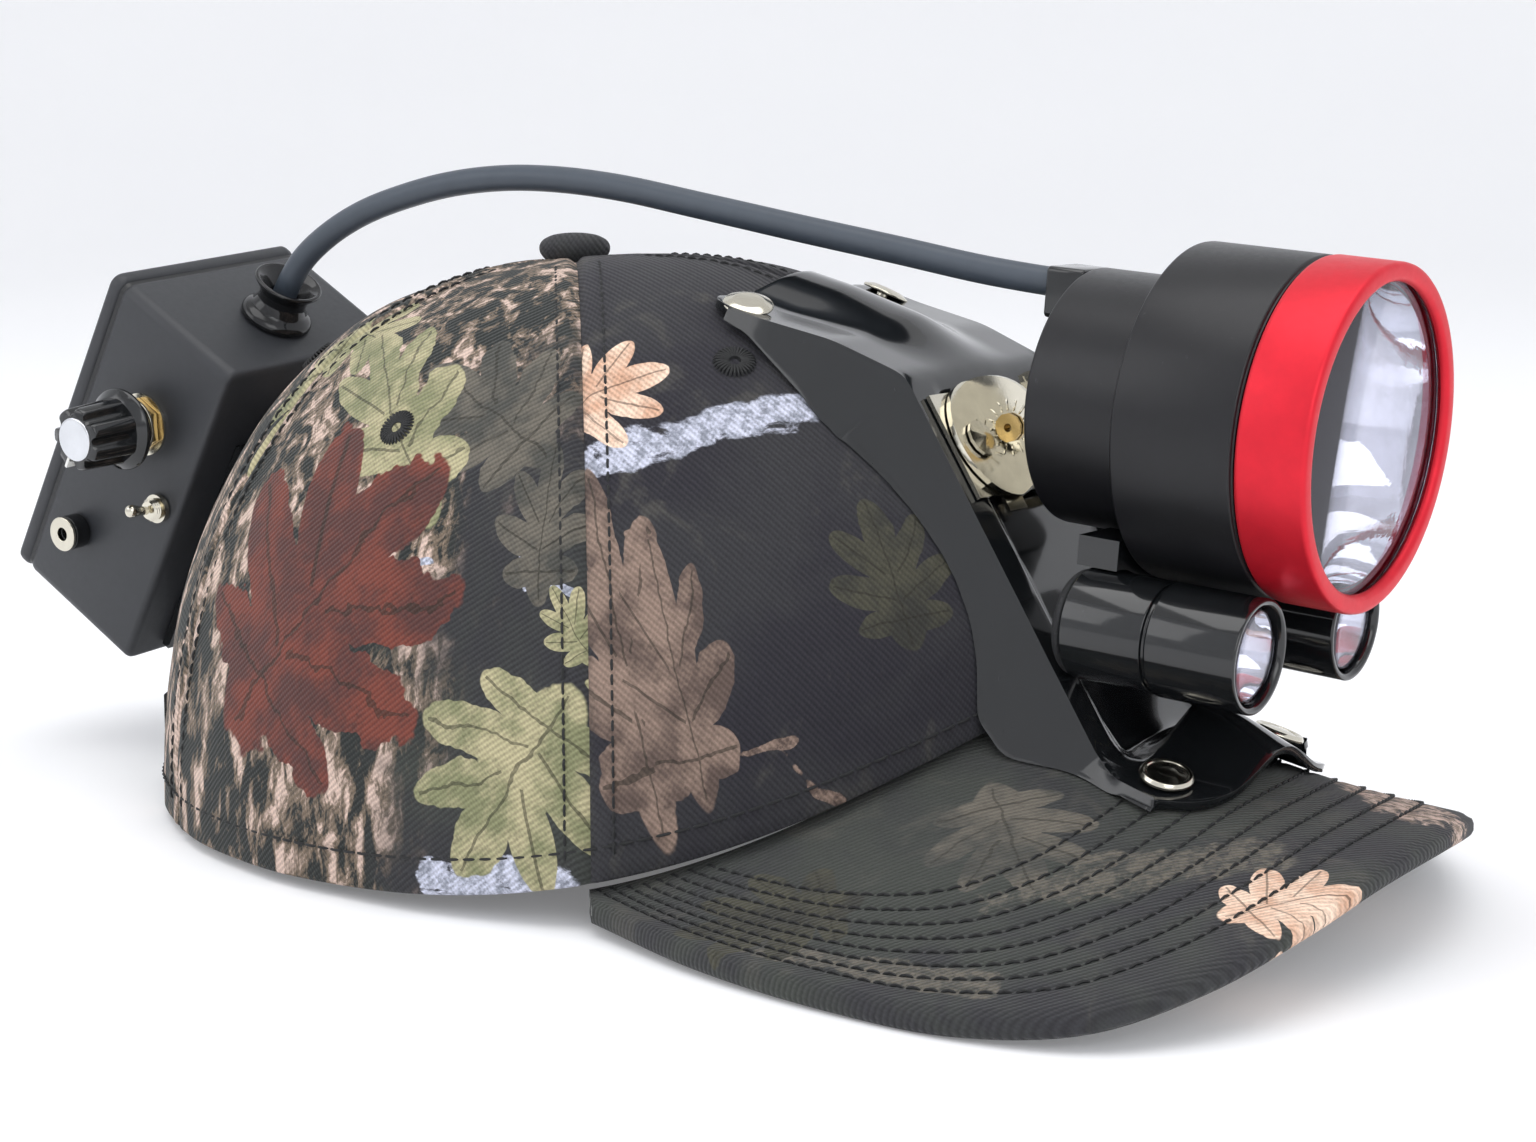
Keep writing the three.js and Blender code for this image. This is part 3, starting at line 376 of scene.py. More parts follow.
def leaf_group():
    """A lobed leaf: says where it is, and where its veins are, from a place and two axes."""
    tree = bpy.data.node_groups.new("leaf", "ShaderNodeTree")
    for name in ("Place", "Foot", "Across", "Along"):
        tree.interface.new_socket(name, in_out="INPUT", socket_type="NodeSocketVector")
    tree.interface.new_socket("Ragged", in_out="INPUT", socket_type="NodeSocketFloat")
    for name in ("Inside", "Vein"):
        tree.interface.new_socket(name, in_out="OUTPUT", socket_type="NodeSocketFloat")
    given = tree.nodes.new("NodeGroupInput").outputs
    result = tree.nodes.new("NodeGroupOutput")
    offset = vector(tree, "SUBTRACT", given["Place"], given["Foot"])
    wobble = calc(tree, "MULTIPLY", calc(tree, "SUBTRACT", noise(tree, given["Place"], 0.11, 3, 0.6), 0.5),
                  given["Ragged"])
    across = calc(tree, "ADD", vector(tree, "DOT_PRODUCT", offset, given["Across"]), wobble)
    y = calc(tree, "ADD", vector(tree, "DOT_PRODUCT", offset, given["Along"]), wobble)
    x = calc(tree, "ABSOLUTE", across)
    nearest, veins = 9.0, 0.0
    for (middle_x, middle_y), half_length, half_width, lean in LOBES:
        c, s = math.cos(math.radians(lean)), math.sin(math.radians(lean))
        from_x, from_y = calc(tree, "SUBTRACT", x, middle_x), calc(tree, "SUBTRACT", y, middle_y)
        out = calc(tree, "MULTIPLY_ADD", from_x, c, calc(tree, "MULTIPLY", from_y, s))
        off = calc(tree, "MULTIPLY_ADD", from_y, c, calc(tree, "MULTIPLY", from_x, -s))
        reach = calc(tree, "ADD", calc(tree, "POWER", calc(tree, "DIVIDE", out, half_length), 2.0),
                     calc(tree, "POWER", calc(tree, "DIVIDE", off, half_width), 2.0))
        nearest = calc(tree, "MINIMUM", nearest, reach)
        on_line = calc(tree, "LESS_THAN", calc(tree, "ABSOLUTE", off), VEIN_HALF_WIDTH)
        in_lobe = calc(tree, "LESS_THAN", calc(tree, "ABSOLUTE", out), half_length * VEIN_REACH)
        line = calc(tree, "MULTIPLY", on_line, in_lobe)
        veins = calc(tree, "MAXIMUM", veins, line)
    inside = calc(tree, "SUBTRACT", 1.0, step_up(tree, nearest, 0.97, 1.06))
    from_foot = vector(tree, "LENGTH", offset)
    leaf_lengths = calc(tree, "MULTIPLY", from_foot, vector(tree, "LENGTH", given["Along"]))
    near = calc(tree, "LESS_THAN", leaf_lengths, LEAF_REACH)
    tree.links.new(calc(tree, "MULTIPLY", inside, near), result.inputs["Inside"])
    tree.links.new(veins, result.inputs["Vein"])
    return tree


LEAF = leaf_group()
INK = linear(44, 43, 49)
CHARCOAL = linear(52, 52, 55)
MOSS = linear(62, 65, 61)
# Paler grey of the painted highlight where light catches folds of the cloth.
FOLD_HIGHLIGHT_GREY = linear(86, 84, 78)
GAP = linear(44, 47, 46)
BARK_PALE = linear(204, 180, 167)
BARK_BROWN = linear(116, 102, 88)
VEIN_BROWN = linear(44, 42, 36)
BRICK = (linear(116, 62, 52), linear(84, 54, 51))
PALE_GREEN = (linear(178, 170, 136), linear(128, 130, 98))
PEACH = (linear(240, 212, 190), linear(206, 164, 138))
TAN = (linear(140, 120, 108), linear(92, 78, 72))
OLIVE = (linear(72, 71, 60), linear(54, 54, 50))
GREY_LEAF = (linear(104, 99, 90), linear(72, 72, 68))
FROST = (linear(198, 201, 218), linear(138, 142, 154))


def unit(v):
    v = np.array(v, float)
    return v / np.linalg.norm(v)


def add_leaf(tree, place, colour, foot, tip, facing, tints, width=1.0, ragged=0.09):
    """Prints a leaf from foot to tip (mm, cap axes) over the colour so far."""
    along = np.array(tip, float) - np.array(foot, float)
    length = np.linalg.norm(along)
    across = unit(np.cross(facing, along)) / length / width
    group = add(tree, "ShaderNodeGroup", node_tree=LEAF)
    tree.links.new(place, group.inputs["Place"])
    group.inputs["Foot"].default_value = tuple(foot)
    group.inputs["Across"].default_value = tuple(across)
    group.inputs["Along"].default_value = tuple(along / length ** 2)
    group.inputs["Ragged"].default_value = ragged
    body = mixed(tree, step_up(tree, noise(tree, place, 0.09, 5, 0.65), 0.38, 0.62), *tints)
    specks = step_up(tree, noise(tree, place, 0.5, 4, 0.7), 0.5, 0.75)
    body = mixed(tree, calc(tree, "MULTIPLY", specks, 0.35), body, VEIN_BROWN)
    body = mixed(tree, calc(tree, "MULTIPLY", group.outputs["Vein"], 0.6), body, VEIN_BROWN)
    return mixed(tree, group.outputs["Inside"], colour, body)


def add_streak(tree, place, colour, start, end, radius, tints, grain=(0.3, 0.3, 0.3), cut=0.3,
               bend=4.0):
    """Prints a broken streak between two points (mm); grain is the scale of its breaks on each axis."""
    a, b = np.array(start, float), np.array(end, float)
    length = np.linalg.norm(b - a)
    drift = add(tree, "ShaderNodeTexNoise", {"Vector": place, "Scale": 0.07}).outputs[1]
    drift = vector(tree, "MULTIPLY_ADD", drift, (2 * bend,) * 3, tuple(-a - bend))
    offset = vector(tree, "ADD", place, drift)
    share = vector(tree, "DOT_PRODUCT", offset, tuple((b - a) / length ** 2))
    share = calc(tree, "MULTIPLY", share, 1.0, clamp=True)
    on_line = add(tree, "ShaderNodeVectorMath", {0: tuple(b - a)}, operation="SCALE")
    tree.links.new(share, on_line.inputs["Scale"])
    distance = vector(tree, "LENGTH", vector(tree, "SUBTRACT", offset, on_line.outputs[0]))
    breaks = noise(tree, vector(tree, "MULTIPLY", place, grain), 1.0, 6, 0.68, 0.5)
    fade = calc(tree, "SUBTRACT", 1.0, step_up(tree, distance, radius * 0.45, radius * 1.25))
    inside = step_up(tree, calc(tree, "MULTIPLY", breaks, fade), cut * 0.85, cut * 1.2)
    tint = mixed(tree, step_up(tree, noise(tree, place, 0.55, 5, 0.7), 0.40, 0.62), *tints)
    return mixed(tree, inside, colour, tint)


def add_bark(tree, place, colour, amount, run):
    """Prints bark where amount is high: speckled plates drawn out along run, with dark gaps."""
    coarse = vector(tree, "MULTIPLY", place, tuple(0.13 - 0.085 * k for k in run))
    fine = vector(tree, "MULTIPLY", place, tuple(0.42 - 0.24 * k for k in run))
    plates = noise(tree, coarse, 1.0, 4, 0.55, 1.4)
    grain = noise(tree, fine, 1.0, 6, 0.72, 0.9)
    height = calc(tree, "ADD", calc(tree, "MULTIPLY", plates, 0.62), calc(tree, "MULTIPLY", grain, 0.38))
    tone = mixed(tree, step_up(tree, height, 0.468, 0.515), GAP, BARK_BROWN)
    tone = mixed(tree, step_up(tree, height, 0.522, 0.585), tone, BARK_PALE)
    return mixed(tree, amount, colour, tone)


RIB_PITCH = 0.95
THREAD_PITCH = 0.62


def twill(name, ribs=(0.62, 0.35, -0.70), prints=(), bark=None, streaks=(), ground=(CHARCOAL, MOSS)):
    """Printed cotton twill. bark is (direction, start, end, run): it fades in along the direction."""
    material, tree, surface, place = new_material(name, Roughness=0.88, Sheen_Weight=0.1,
                                                  Sheen_Roughness=0.5, Specular_IOR_Level=0.22)
    colour = mixed(tree, step_up(tree, noise(tree, place, 0.022, 4, 0.6, 0.6), 0.42, 0.62), *ground)
    # Broad patches where the dark ground turns paler grey: painted highlight of light caught on folds of the
    # cloth.
    fold_highlight_noise = noise(tree, vector(tree, "MULTIPLY", place, (0.05, 0.05, 0.03)), 1.0, 5, 0.65, 1.0)
    painted_fold_highlight = calc(tree, "MULTIPLY", step_up(tree, fold_highlight_noise, 0.54, 0.68), 0.45)
    colour = mixed(tree, painted_fold_highlight, colour, FOLD_HIGHLIGHT_GREY)
    if bark:
        direction, start, end, run = bark
        edge = calc(tree, "MULTIPLY_ADD", noise(tree, place, 0.05, 4, 0.6), 60.0, -30.0)
        along = calc(tree, "ADD", vector(tree, "DOT_PRODUCT", place, direction), edge)
        colour = add_bark(tree, place, colour, step_up(tree, along, start, end), run)
    for streak in streaks:
        colour = add_streak(tree, place, colour, *streak)
    for leaf in prints:
        colour = add_leaf(tree, place, colour, *leaf)
    sway = calc(tree, "MULTIPLY", noise(tree, place, 0.8, 2), 1.6)
    over_ribs = vector(tree, "DOT_PRODUCT", place, ribs)
    rib = calc(tree, "SINE", calc(tree, "MULTIPLY_ADD", over_ribs, 2 * math.pi / RIB_PITCH, sway))
    over_threads = vector(tree, "DOT_PRODUCT", place, (ribs[2], ribs[1], -ribs[0]))
    thread = calc(tree, "SINE", calc(tree, "MULTIPLY", over_threads, 2 * math.pi / THREAD_PITCH))
    weave = calc(tree, "MULTIPLY_ADD", thread, 0.3, rib)
    # The rib and thread pattern that raises the surface also scales the colour, darker in its grooves and
    # lighter on its ridges: painted shade and highlight. fleck is the threads' own random tone.
    fleck = calc(tree, "MULTIPLY_ADD", noise(tree, place, 2.6, 2, 0.6), 0.5, 0.78)
    painted_rib_shade_and_fleck = calc(tree, "MULTIPLY", calc(tree, "MULTIPLY_ADD", weave, 0.17, 1.0), fleck)
    tone = add(tree, "ShaderNodeCombineColor", {0: painted_rib_shade_and_fleck, 1: painted_rib_shade_and_fleck, 2: painted_rib_shade_and_fleck}).outputs[0]
    colour = mixed(tree, 1.0, colour, tone, "MULTIPLY")
    tree.links.new(colour, surface.inputs["Base Color"])
    raise_surface(tree, surface, weave, 0.11, 0.7)
    return material


SIDE_FACING = (0.1, -0.95, 0.3)
UPRIGHT = (0, 0, 1)
SIDE_LEAVES = [
    ((-36.0, -30.0, 100.0), (-6.0, -46.0, 97.0), (0.0, -0.6, 0.8), PALE_GREEN, 0.8),
    ((46.0, -61.0, 80.0), (8.0, -52.0, 96.0), (0.1, -0.8, 0.6), GREY_LEAF, 0.9),
    ((50.0, -74.0, 56.0), (44.0, -60.0, 84.0), (0.1, -0.8, 0.6), GREY_LEAF, 0.7),
    ((26.0, -71.0, 66.0), (-17.0, -42.0, 103.0), (0.0, -0.8, 0.6), PALE_GREEN, 0.55),
    ((-24.0, -82.0, 24.0), (22.0, -65.0, 80.0), SIDE_FACING, BRICK, 1.1, 0.12),
    ((60.0, -73.0, 44.0), (40.0, -85.0, 8.0), SIDE_FACING, PALE_GREEN, 1.15),
    ((62.0, -71.0, 46.0), (52.0, -72.0, 60.0), SIDE_FACING, PALE_GREEN, 0.8),
    ((60.0, -72.0, 44.0), (76.0, -68.0, 38.0), SIDE_FACING, PALE_GREEN, 0.7),
]
FRONT_LEAVES = [
    ((36.0, -58.0, 86.0), (56.0, -42.0, 98.0), (0.2, -0.7, 0.7), PEACH, 1.1, 0.05),
    ((78.0, -70.0, 12.0), (52.0, -61.0, 80.0), (0.5, -0.8, 0.2), TAN, 0.40),
    ((84.0, -66.0, 20.0), (66.0, -62.0, 70.0), (0.5, -0.8, 0.2), TAN, 0.44),
    ((108.0, -38.0, 48.0), (97.0, -36.0, 76.0), (0.8, -0.5, 0.2), OLIVE, 0.9),
]


def mirrored(leaves):
    """The same leaves on the other side of the cap."""
    def flip(p):
        return (p[0], -p[1], p[2])
    return [(flip(foot), flip(tip), flip(facing), *rest) for foot, tip, facing, *rest in leaves]


REAR_LEAVES = [
    ((-26, -30, 103), (-30, -62, 66), (-0.5, -0.6, 0.6), PALE_GREEN, 0.6),
    ((-60, -40, 40), (-72, -22, 66), (-0.8, -0.5, 0.2), OLIVE, 0.9),
    ((-50, 58, 30), (-62, 34, 66), (-0.8, 0.5, 0.2), BRICK, 1.1),
]
VISOR_LEAVES = [
    ((112, -70, 24), (88, -86, 8), UPRIGHT, OLIVE, 1.0),
    ((122, -36, 32), (146, -60, 26), UPRIGHT, GREY_LEAF, 1.0),
    ((176, -56, 14), (194, -34, 17), UPRIGHT, PEACH, 1.0, 0.05),
    ((120, 60, 20), (150, 72, 14), UPRIGHT, OLIVE, 1.0),
]
FRONT_STREAKS = [
    ((50, -60, 80), (86, -26, 93), 5.5, FROST, (0.16, 0.16, 0.4), 0.36),
    ((50, 60, 80), (86, 26, 93), 5.5, FROST, (0.16, 0.16, 0.4), 0.36),
    ((76, -66, 44), (102, -52, 24), 1.3, TAN),
    ((70, -71, 26), (96, -56, 35), 1.1, TAN),
    ((80, -66, 20), (84, -62, 44), 0.9, TAN),
]
SIDE_STREAKS = [
    ((36, -84, 7), (58, -79, 7), 6.0, FROST, (0.2, 0.2, 0.5), 0.36),
    ((19, -75, 61), (57, -69, 59), 1.2, FROST),
    ((18, -78, 47), (52, -70, 62), 1.1, FROST),
    ((42, -70, 72), (46, -72, 56), 0.9, FROST),
    ((30, -78, 44), (58, -70, 50), 1.4, GREY_LEAF),
]
VISOR_STREAKS = [
    ((122, -82, 12), (150, -62, 22), 5.0, FROST, (0.3, 0.12, 0.4), 0.36),
    ((104, -86, 10), (150, -84, 6), 5.0, GREY_LEAF, (0.4, 0.2, 0.4), 0.36),
    ((96, -66, 30), (118, -66, 26), 4.0, (BARK_PALE, BRICK[0]), (0.4, 0.3, 0.4), 0.42),
    ((160, 30, 16), (186, 6, 18), 13.0, (BARK_PALE, BARK_BROWN), (0.3, 0.3, 0.4), 0.42),
    ((134, -70, 20), (172, -34, 22), 10.0, GREY_LEAF, (0.4, 0.15, 0.4), 0.42),
    ((112, -62, 28), (120, -78, 18), 1.1, FROST),
    ((96, -70, 26), (130, -60, 27), 1.1, TAN),
    ((130, -40, 31), (168, -52, 20), 1.1, FROST),
]
CLOTHS = {
    "front": twill("printed_twill_front", (0.40, 0.62, 0.67), FRONT_LEAVES + mirrored(FRONT_LEAVES),
                   streaks=FRONT_STREAKS, ground=(INK, CHARCOAL)),
    "side": twill("printed_twill_side", (-0.62, 0.2, 0.74), SIDE_LEAVES + mirrored(SIDE_LEAVES[:6]),
                  bark=((-1, 0, 0.1), -34.0, -14.0, UPRIGHT), streaks=SIDE_STREAKS),
    "rear": twill("printed_twill_rear", (0.5, 0.5, 0.70), REAR_LEAVES,
                  bark=((-1, 0, 0.0), -10.0, 6.0, UPRIGHT)),
    "visor": twill("printed_twill_visor", (-0.72, 0.66, 0.2), VISOR_LEAVES, streaks=VISOR_STREAKS),
}
PLAIN_TWILL = twill("plain_dark_twill", (0.6, 0.5, 0.6))


def simple(name, colour, rough, metal=0.0, grain=None, wear=None, **sockets):
    """A material with fine variation: grain is (scale per mm, depth mm), wear lightens by noise."""
    material, tree, surface, place = new_material(name, Metallic=metal, **sockets)
    spots = noise(tree, place, 0.25, 5, 0.6)
    low, high = [tuple(c * k for c in colour[:3]) + (1.0,) for k in (0.86, 1.12)]
    tint = mixed(tree, spots, low, high)
    if wear:
        marks = noise(tree, vector(tree, "MULTIPLY", place, (0.9, 0.9, 0.25)), 1.0, 8, 0.75)
        tint = mixed(tree, calc(tree, "MULTIPLY", step_up(tree, marks, 0.62, 0.72), 0.35), tint, wear)
    tree.links.new(tint, surface.inputs["Base Color"])
    rough_map = calc(tree, "MULTIPLY_ADD", noise(tree, place, 0.7, 5, 0.7), rough * 0.5, rough * 0.75)
    tree.links.new(rough_map, surface.inputs["Roughness"])
    if grain:
        raise_surface(tree, surface, noise(tree, place, grain[0], 3, 0.6), grain[1], 0.6)
    return material


GLOSS = simple("gloss_black_sheet", linear(22, 24, 26), 0.11, grain=(0.05, 0.12), wear=linear(70, 70, 72),
               Coat_Weight=0.35, Coat_Roughness=0.06)
SATIN = simple("satin_black_anodised", linear(27, 27, 30), 0.36, 0.25, grain=(1.6, 0.01),
               wear=linear(80, 80, 84))
RED = simple("red_anodised", linear(218, 32, 50), 0.42, 0.55, grain=(1.8, 0.01))
NICKEL = simple("nickel_plate", linear(214, 209, 194), 0.16, 1.0, grain=(0.5, 0.03),
                wear=linear(140, 130, 104))
BRASS = simple("bare_brass", linear(196, 168, 112), 0.22, 1.0, grain=(1.0, 0.02))
ALUMINIUM = simple("machined_aluminium", linear(214, 216, 220), 0.26, 1.0, grain=(0.9, 0.02))
MATTE = simple("matte_moulded_black", linear(46, 48, 52), 0.46, grain=(3.2, 0.05))
RUBBER = simple("dark_cable_rubber", linear(66, 74, 84), 0.42, grain=(2.2, 0.02))
SOFT_BLACK = simple("black_rubber", linear(26, 27, 29), 0.35, grain=(2.0, 0.03))
THREAD = simple("black_thread", linear(30, 31, 32), 0.7, grain=(6.0, 0.06))
WEB = simple("black_webbing", linear(28, 29, 30), 0.85, grain=(1.4, 0.3))
MIRROR = simple("plated_reflector", linear(238, 240, 243), 0.035, 1.0, grain=(0.35, 0.04))
CIRCUIT = simple("green_board", linear(28, 86, 52), 0.4, grain=(0.8, 0.05))
PHOSPHOR = simple("yellow_emitter", linear(238, 214, 110), 0.4, grain=(1.0, 0.02))
WRAP = simple("blue_shrink_wrap", linear(52, 104, 178), 0.25, grain=(0.3, 0.1))
BOARD = simple("visor_sheet", linear(180, 182, 178), 0.6, grain=(0.5, 0.1))
WHITE = simple("white_line", linear(236, 236, 232), 0.4, grain=(2.0, 0.02))
FACE_METAL = simple("brushed_cap_disc", linear(216, 218, 222), 0.22, 1.0, grain=(1.6, 0.02))
GLASS = simple("clear_lens", linear(240, 240, 250), 0.02, grain=(0.02, 0.05),
               Transmission_Weight=1.0, IOR=1.46, Specular_Tint=linear(226, 222, 252))
ROUGH_RUBBER = simple("rough_rubber_cap", linear(34, 35, 37), 0.75, grain=(1.6, 0.5))
GLAND_BLACK = simple("polished_black_rubber", linear(20, 21, 23), 0.12, grain=(0.4, 0.05))


# ---------------------------------------------------------------- crown surface
def hem_radius(angle, inset=0.0):
    c, s = np.cos(angle), np.sin(angle)
    a, b = CROWN["half_length"] - inset, CROWN["half_width"] - inset
    dx = CROWN["apex_x"] - CROWN["centre_x"]
    p = (c / a) ** 2 + (s / b) ** 2
    q = 2 * dx * c / a ** 2
    r = (dx / a) ** 2 - 1
    return (-q + np.sqrt(q * q - 4 * p * r)) / (2 * p)


def hem_height(x):
    reach = CROWN["centre_x"] + CROWN["half_length"] - HEM_LIFT["start_x"]
    share = np.maximum(0.0, (x - HEM_LIFT["start_x"]) / reach)
    return HEM_LIFT["front"] * share ** HEM_LIFT["power"]


def crown_point(angle, level, inset=0.0):
    """A point on the crown: level is 0 at the hem and 1 at the apex. Takes arrays too."""
    angle, level = np.broadcast_arrays(np.asarray(angle, float), np.asarray(level, float))
    from_front = np.degrees(np.arctan2(np.sin(angle), np.cos(angle))) / FRONT_FLATTER["spread"]
    power = CROWN_ROUND - FRONT_FLATTER["by"] * np.exp(-0.5 * from_front ** 2)
    across = np.maximum(0.0, np.cos(level * math.pi / 2)) ** (2 / power)
    rise = np.sin(np.maximum(0.0, level) * math.pi / 2) ** (2 / power)
    radius = hem_radius(angle, inset)
    hem = hem_height(CROWN["apex_x"] + hem_radius(angle) * np.cos(angle))
    x = CROWN["apex_x"] + across * radius * np.cos(angle)
    y = across * radius * np.sin(angle)
    swell_x = (x - FRONT_SWELL["x"]) / FRONT_SWELL["spread_x"]
    swell_y = y / FRONT_SWELL["spread_y"]
    swell = (FRONT_SWELL["height"] * rise ** 2 * np.exp(-0.5 * swell_x ** 2)
             * np.exp(-0.5 * swell_y ** 2))
    point = np.stack([x, y, hem + (CROWN["height"] - inset - hem) * rise + swell], axis=-1)
    pressed = (point - FOLD_TOP) @ WALL_OUT + CROWN_BEHIND_WALL + inset
    return point - np.maximum(0.0, pressed)[..., None] * WALL_OUT


def crown_normal(angle, level):
    turn, rise = 0.004, 0.004
    level = np.minimum(level, 0.985)
    along = crown_point(angle + turn, level) - crown_point(angle - turn, level)
    upward = crown_point(angle, level + rise) - crown_point(angle, np.maximum(0.0, level - rise))
    normal = np.cross(along, upward)
    return normal / np.linalg.norm(normal, axis=-1)[..., None]


def level_at_height(angle, height):
    """The crown's level at a height, found by halving."""
    low, high = np.zeros_like(angle), np.ones_like(angle)
    for _ in range(30):
        middle = (low + high) / 2
        under = crown_point(angle, middle)[..., 2] < height
        low, high = np.where(under, middle, low), np.where(under, high, middle)
    return low


def crown_height_over(x, y):
    """Height of the crown's outer surface over a place near its front."""
    angle = math.atan2(y, x - CROWN["apex_x"])
    target = math.hypot(x - CROWN["apex_x"], y)
    low, high = 0.0, 0.999
    for _ in range(30):
        middle = (low + high) / 2
        p = crown_point(angle, middle)
        if math.hypot(p[0] - CROWN["apex_x"], p[1]) > target:
            low = middle
        else:
            high = middle
    return float(crown_point(angle, low)[2])


def outside_crown(point):
    """How far a point is outside the crown, measured level, in mm."""
    angle = math.atan2(point[1], point[0] - CROWN["apex_x"])
    level = float(level_at_height(np.array(angle), min(point[2], CROWN["height"] - 0.5)))
    skin = crown_point(angle, level)
    return math.hypot(point[0] - CROWN["apex_x"], point[1]) - math.hypot(skin[0] - CROWN["apex_x"], skin[1])


def lowest_level(angle):
    """The level at which a panel starts: just over the floor, or at the strap opening's arch."""
    start = np.full_like(angle, 0.008)
    hem = crown_point(angle, 0.0)
    inside = (np.abs(hem[..., 1]) < STRAP_OPENING["half_width"]) & (hem[..., 0] < 0)
    share = np.clip(np.abs(hem[..., 1]) / STRAP_OPENING["half_width"], 0, 1)
    arch = STRAP_OPENING["height"] * np.sqrt(1 - share ** 2)
    return np.where(inside, np.maximum(start, level_at_height(angle, arch)), start)


def ripple(points):
    """A gentle unevenness of cloth, from sines of the place, in mm."""
    x, y, z = points[..., 0], points[..., 1], points[..., 2]
    return (0.28 * np.sin(x / 11 + 1.3 * np.sin(z / 17)) * np.sin(z / 14 + y / 23 + 1)
            + 0.16 * np.sin(x / 5.5 + z / 6.5 + 2 * np.sin(y / 19)))


def crown_panel(node, start, end, material):
    columns, rows = 64, 76
    share = np.linspace(0, 1, columns)
    middle = np.radians(start + (end - start) * share)
    first = lowest_level(middle)
    w = np.linspace(0, 1, rows)[:, None]
    level = first[None, :] + (CROWN_TOP - first[None, :]) * w
    angle = np.broadcast_to(middle[None, :], level.shape)
    outer = crown_point(angle, level)
    normal = crown_normal(angle, level)
    radius = np.hypot(outer[..., 0] - CROWN["apex_x"], outer[..., 1])
    from_seam = np.minimum(share, 1 - share)[None, :] * abs(math.radians(end - start)) * radius
    arc = level * CROWN_ARC
    seam = -0.85 * np.exp(-(from_seam / 0.9) ** 2) + 0.32 * np.exp(-((from_seam - 2.6) / 2.2) ** 2)
    pucker = 0.10 * np.sin(2 * math.pi * arc / 2.7) * np.exp(-((from_seam - 4.4) / 1.4) ** 2)
    hem_ridge = -0.25 * np.exp(-(((level - first[None, :]) * CROWN_ARC - 13.0) / 0.9) ** 2)
    stiff = 0.35 if abs(end) <= 50 else 1.0
    outer = outer + normal * (seam + pucker + hem_ridge + stiff * ripple(outer))[..., None]
    inner = crown_point(angle, level, CLOTH)
    hem_mid, hem_half = (outer[0] + inner[0]) / 2, (outer[0] - inner[0]) / 2
    roll = [hem_mid + hem_half * math.cos(t) + np.array([0, 0, -0.7 * math.sin(t)])
            for t in np.radians([45, 90, 135])]
    sheets = np.concatenate([outer[::-1], np.stack(roll), inner])
    faces = grid_faces(len(sheets), columns)
    last = len(sheets) - 1
    for i in range(rows - 1):
        for column in (0, columns - 1):
            faces.append(tuple(r * columns + column for r in (i, i + 1, last - i - 1, last - i)))
    return mesh_piece(f"cloth_{node}", sheets.reshape(-1, 3), faces, material, stands_for=[node],
                      slot="camo_cloth", sharp=70)


for side_name, side in (("right", -1), ("left", 1)):
    for index, panel in enumerate(("front", "side", "rear")):
        crown_panel(f"crown_panel_{panel}_{side_name}", side * SEAM_ANGLES[index],
                    side * SEAM_ANGLES[index + 1], CLOTHS[panel])


# ---------------------------------------------------------------- crown sewing
def crown_outward(point):
    angle = math.atan2(point[1], point[0] - CROWN["apex_x"])
    level = float(level_at_height(np.array(angle), min(point[2], NEAR_APEX_Z)))
    return crown_normal(np.array(angle), np.array(level))


def radius_at(angle, level):
    point = crown_point(angle, level)
    return max(4.0, math.hypot(point[0] - CROWN["apex_x"], point[1]))


def beside_seam(seam, off, levels, inset=0.0):
    """Points of the crown that keep a distance off, in mm, from a seam."""
    base = math.radians(seam)
    return [crown_point(base + off / radius_at(base, level), level, inset) for level in levels]


def crown_sewing():
    """Twin rows beside each seam and one row round the hem."""
    parts = []
    for seam in (0, 50, 125, 180, -125, -50):
        low = float(lowest_level(np.radians([seam]))[0])
        levels = np.linspace(low + 0.02, 0.90, 90)
        for off in (-4.3, 4.3):
            path = [p + 0.12 * crown_outward(p) for p in beside_seam(seam, off, levels)]
            parts.append(stitch_row(path, crown_outward))
    turns = np.radians(np.linspace(-180, 180, 420))
    first = lowest_level(turns)
    hem = crown_point(turns, first + 4.2 / CROWN_ARC)
    parts.append(stitch_row(hem, crown_outward, pitch=3.4))
    return joined(parts)


EYELET_BOW = [(1.0, -0.5, 0.24), (1.3, 0.35, 0.26), (2.4, 0.62, 0.28), (3.5, 0.45, 0.26), (4.0, -0.2, 0.18)]


def eyelet(angle, level):
    """A sewn eyelet: threads round a hole, at a place on the crown."""
    centre = crown_point(angle, level)
    out = crown_normal(np.array(angle), np.array(level))
    side = unit(np.cross((0, 0, 1.0), out))
    up = np.cross(out, side)
    parts = []
    threads = 30
    for k in range(threads):
        turn = 2 * math.pi * k / threads
        away = math.cos(turn) * side + math.sin(turn) * up
        bow = [centre + away * r + out * h for r, h, _ in EYELET_BOW]
        parts.append(tube_mesh(bow, [thick for _, _, thick in EYELET_BOW], 6))
    return parts


points, faces = crown_sewing()
mesh_piece("crown_topstitching", points, faces, THREAD, slot="camo_cloth", weld=False)
EYELETS = [(27.2, 0.569), (-27.2, 0.569), (84, 0.512), (-84, 0.512), (152, 0.60), (-152, 0.60)]
points, faces = joined([part for turn, level in EYELETS for part in eyelet(math.radians(turn), level)])
mesh_piece("crown_eyelets", points, faces, THREAD, slot="camo_cloth", weld=False)

X_TO_UP = Matrix.Rotation(-math.pi / 2, 4, "Y")
apex = Matrix.Translation((CROWN["apex_x"], 0, CROWN["height"] + 1)) @ X_TO_UP
button = [(-1.2, 0), (-1.2, 5.0), (-0.2, 6.3), (1.1, 7.2), (2.4, 7.3), (3.6, 6.6), (4.6, 4.6),
          (5.0, 2.0), (5.05, 0)]
turned("button_cover", button, PLAIN_TWILL, apex, radius=0.9, stands_for=["crown_button"],
       slot="camo_cloth")


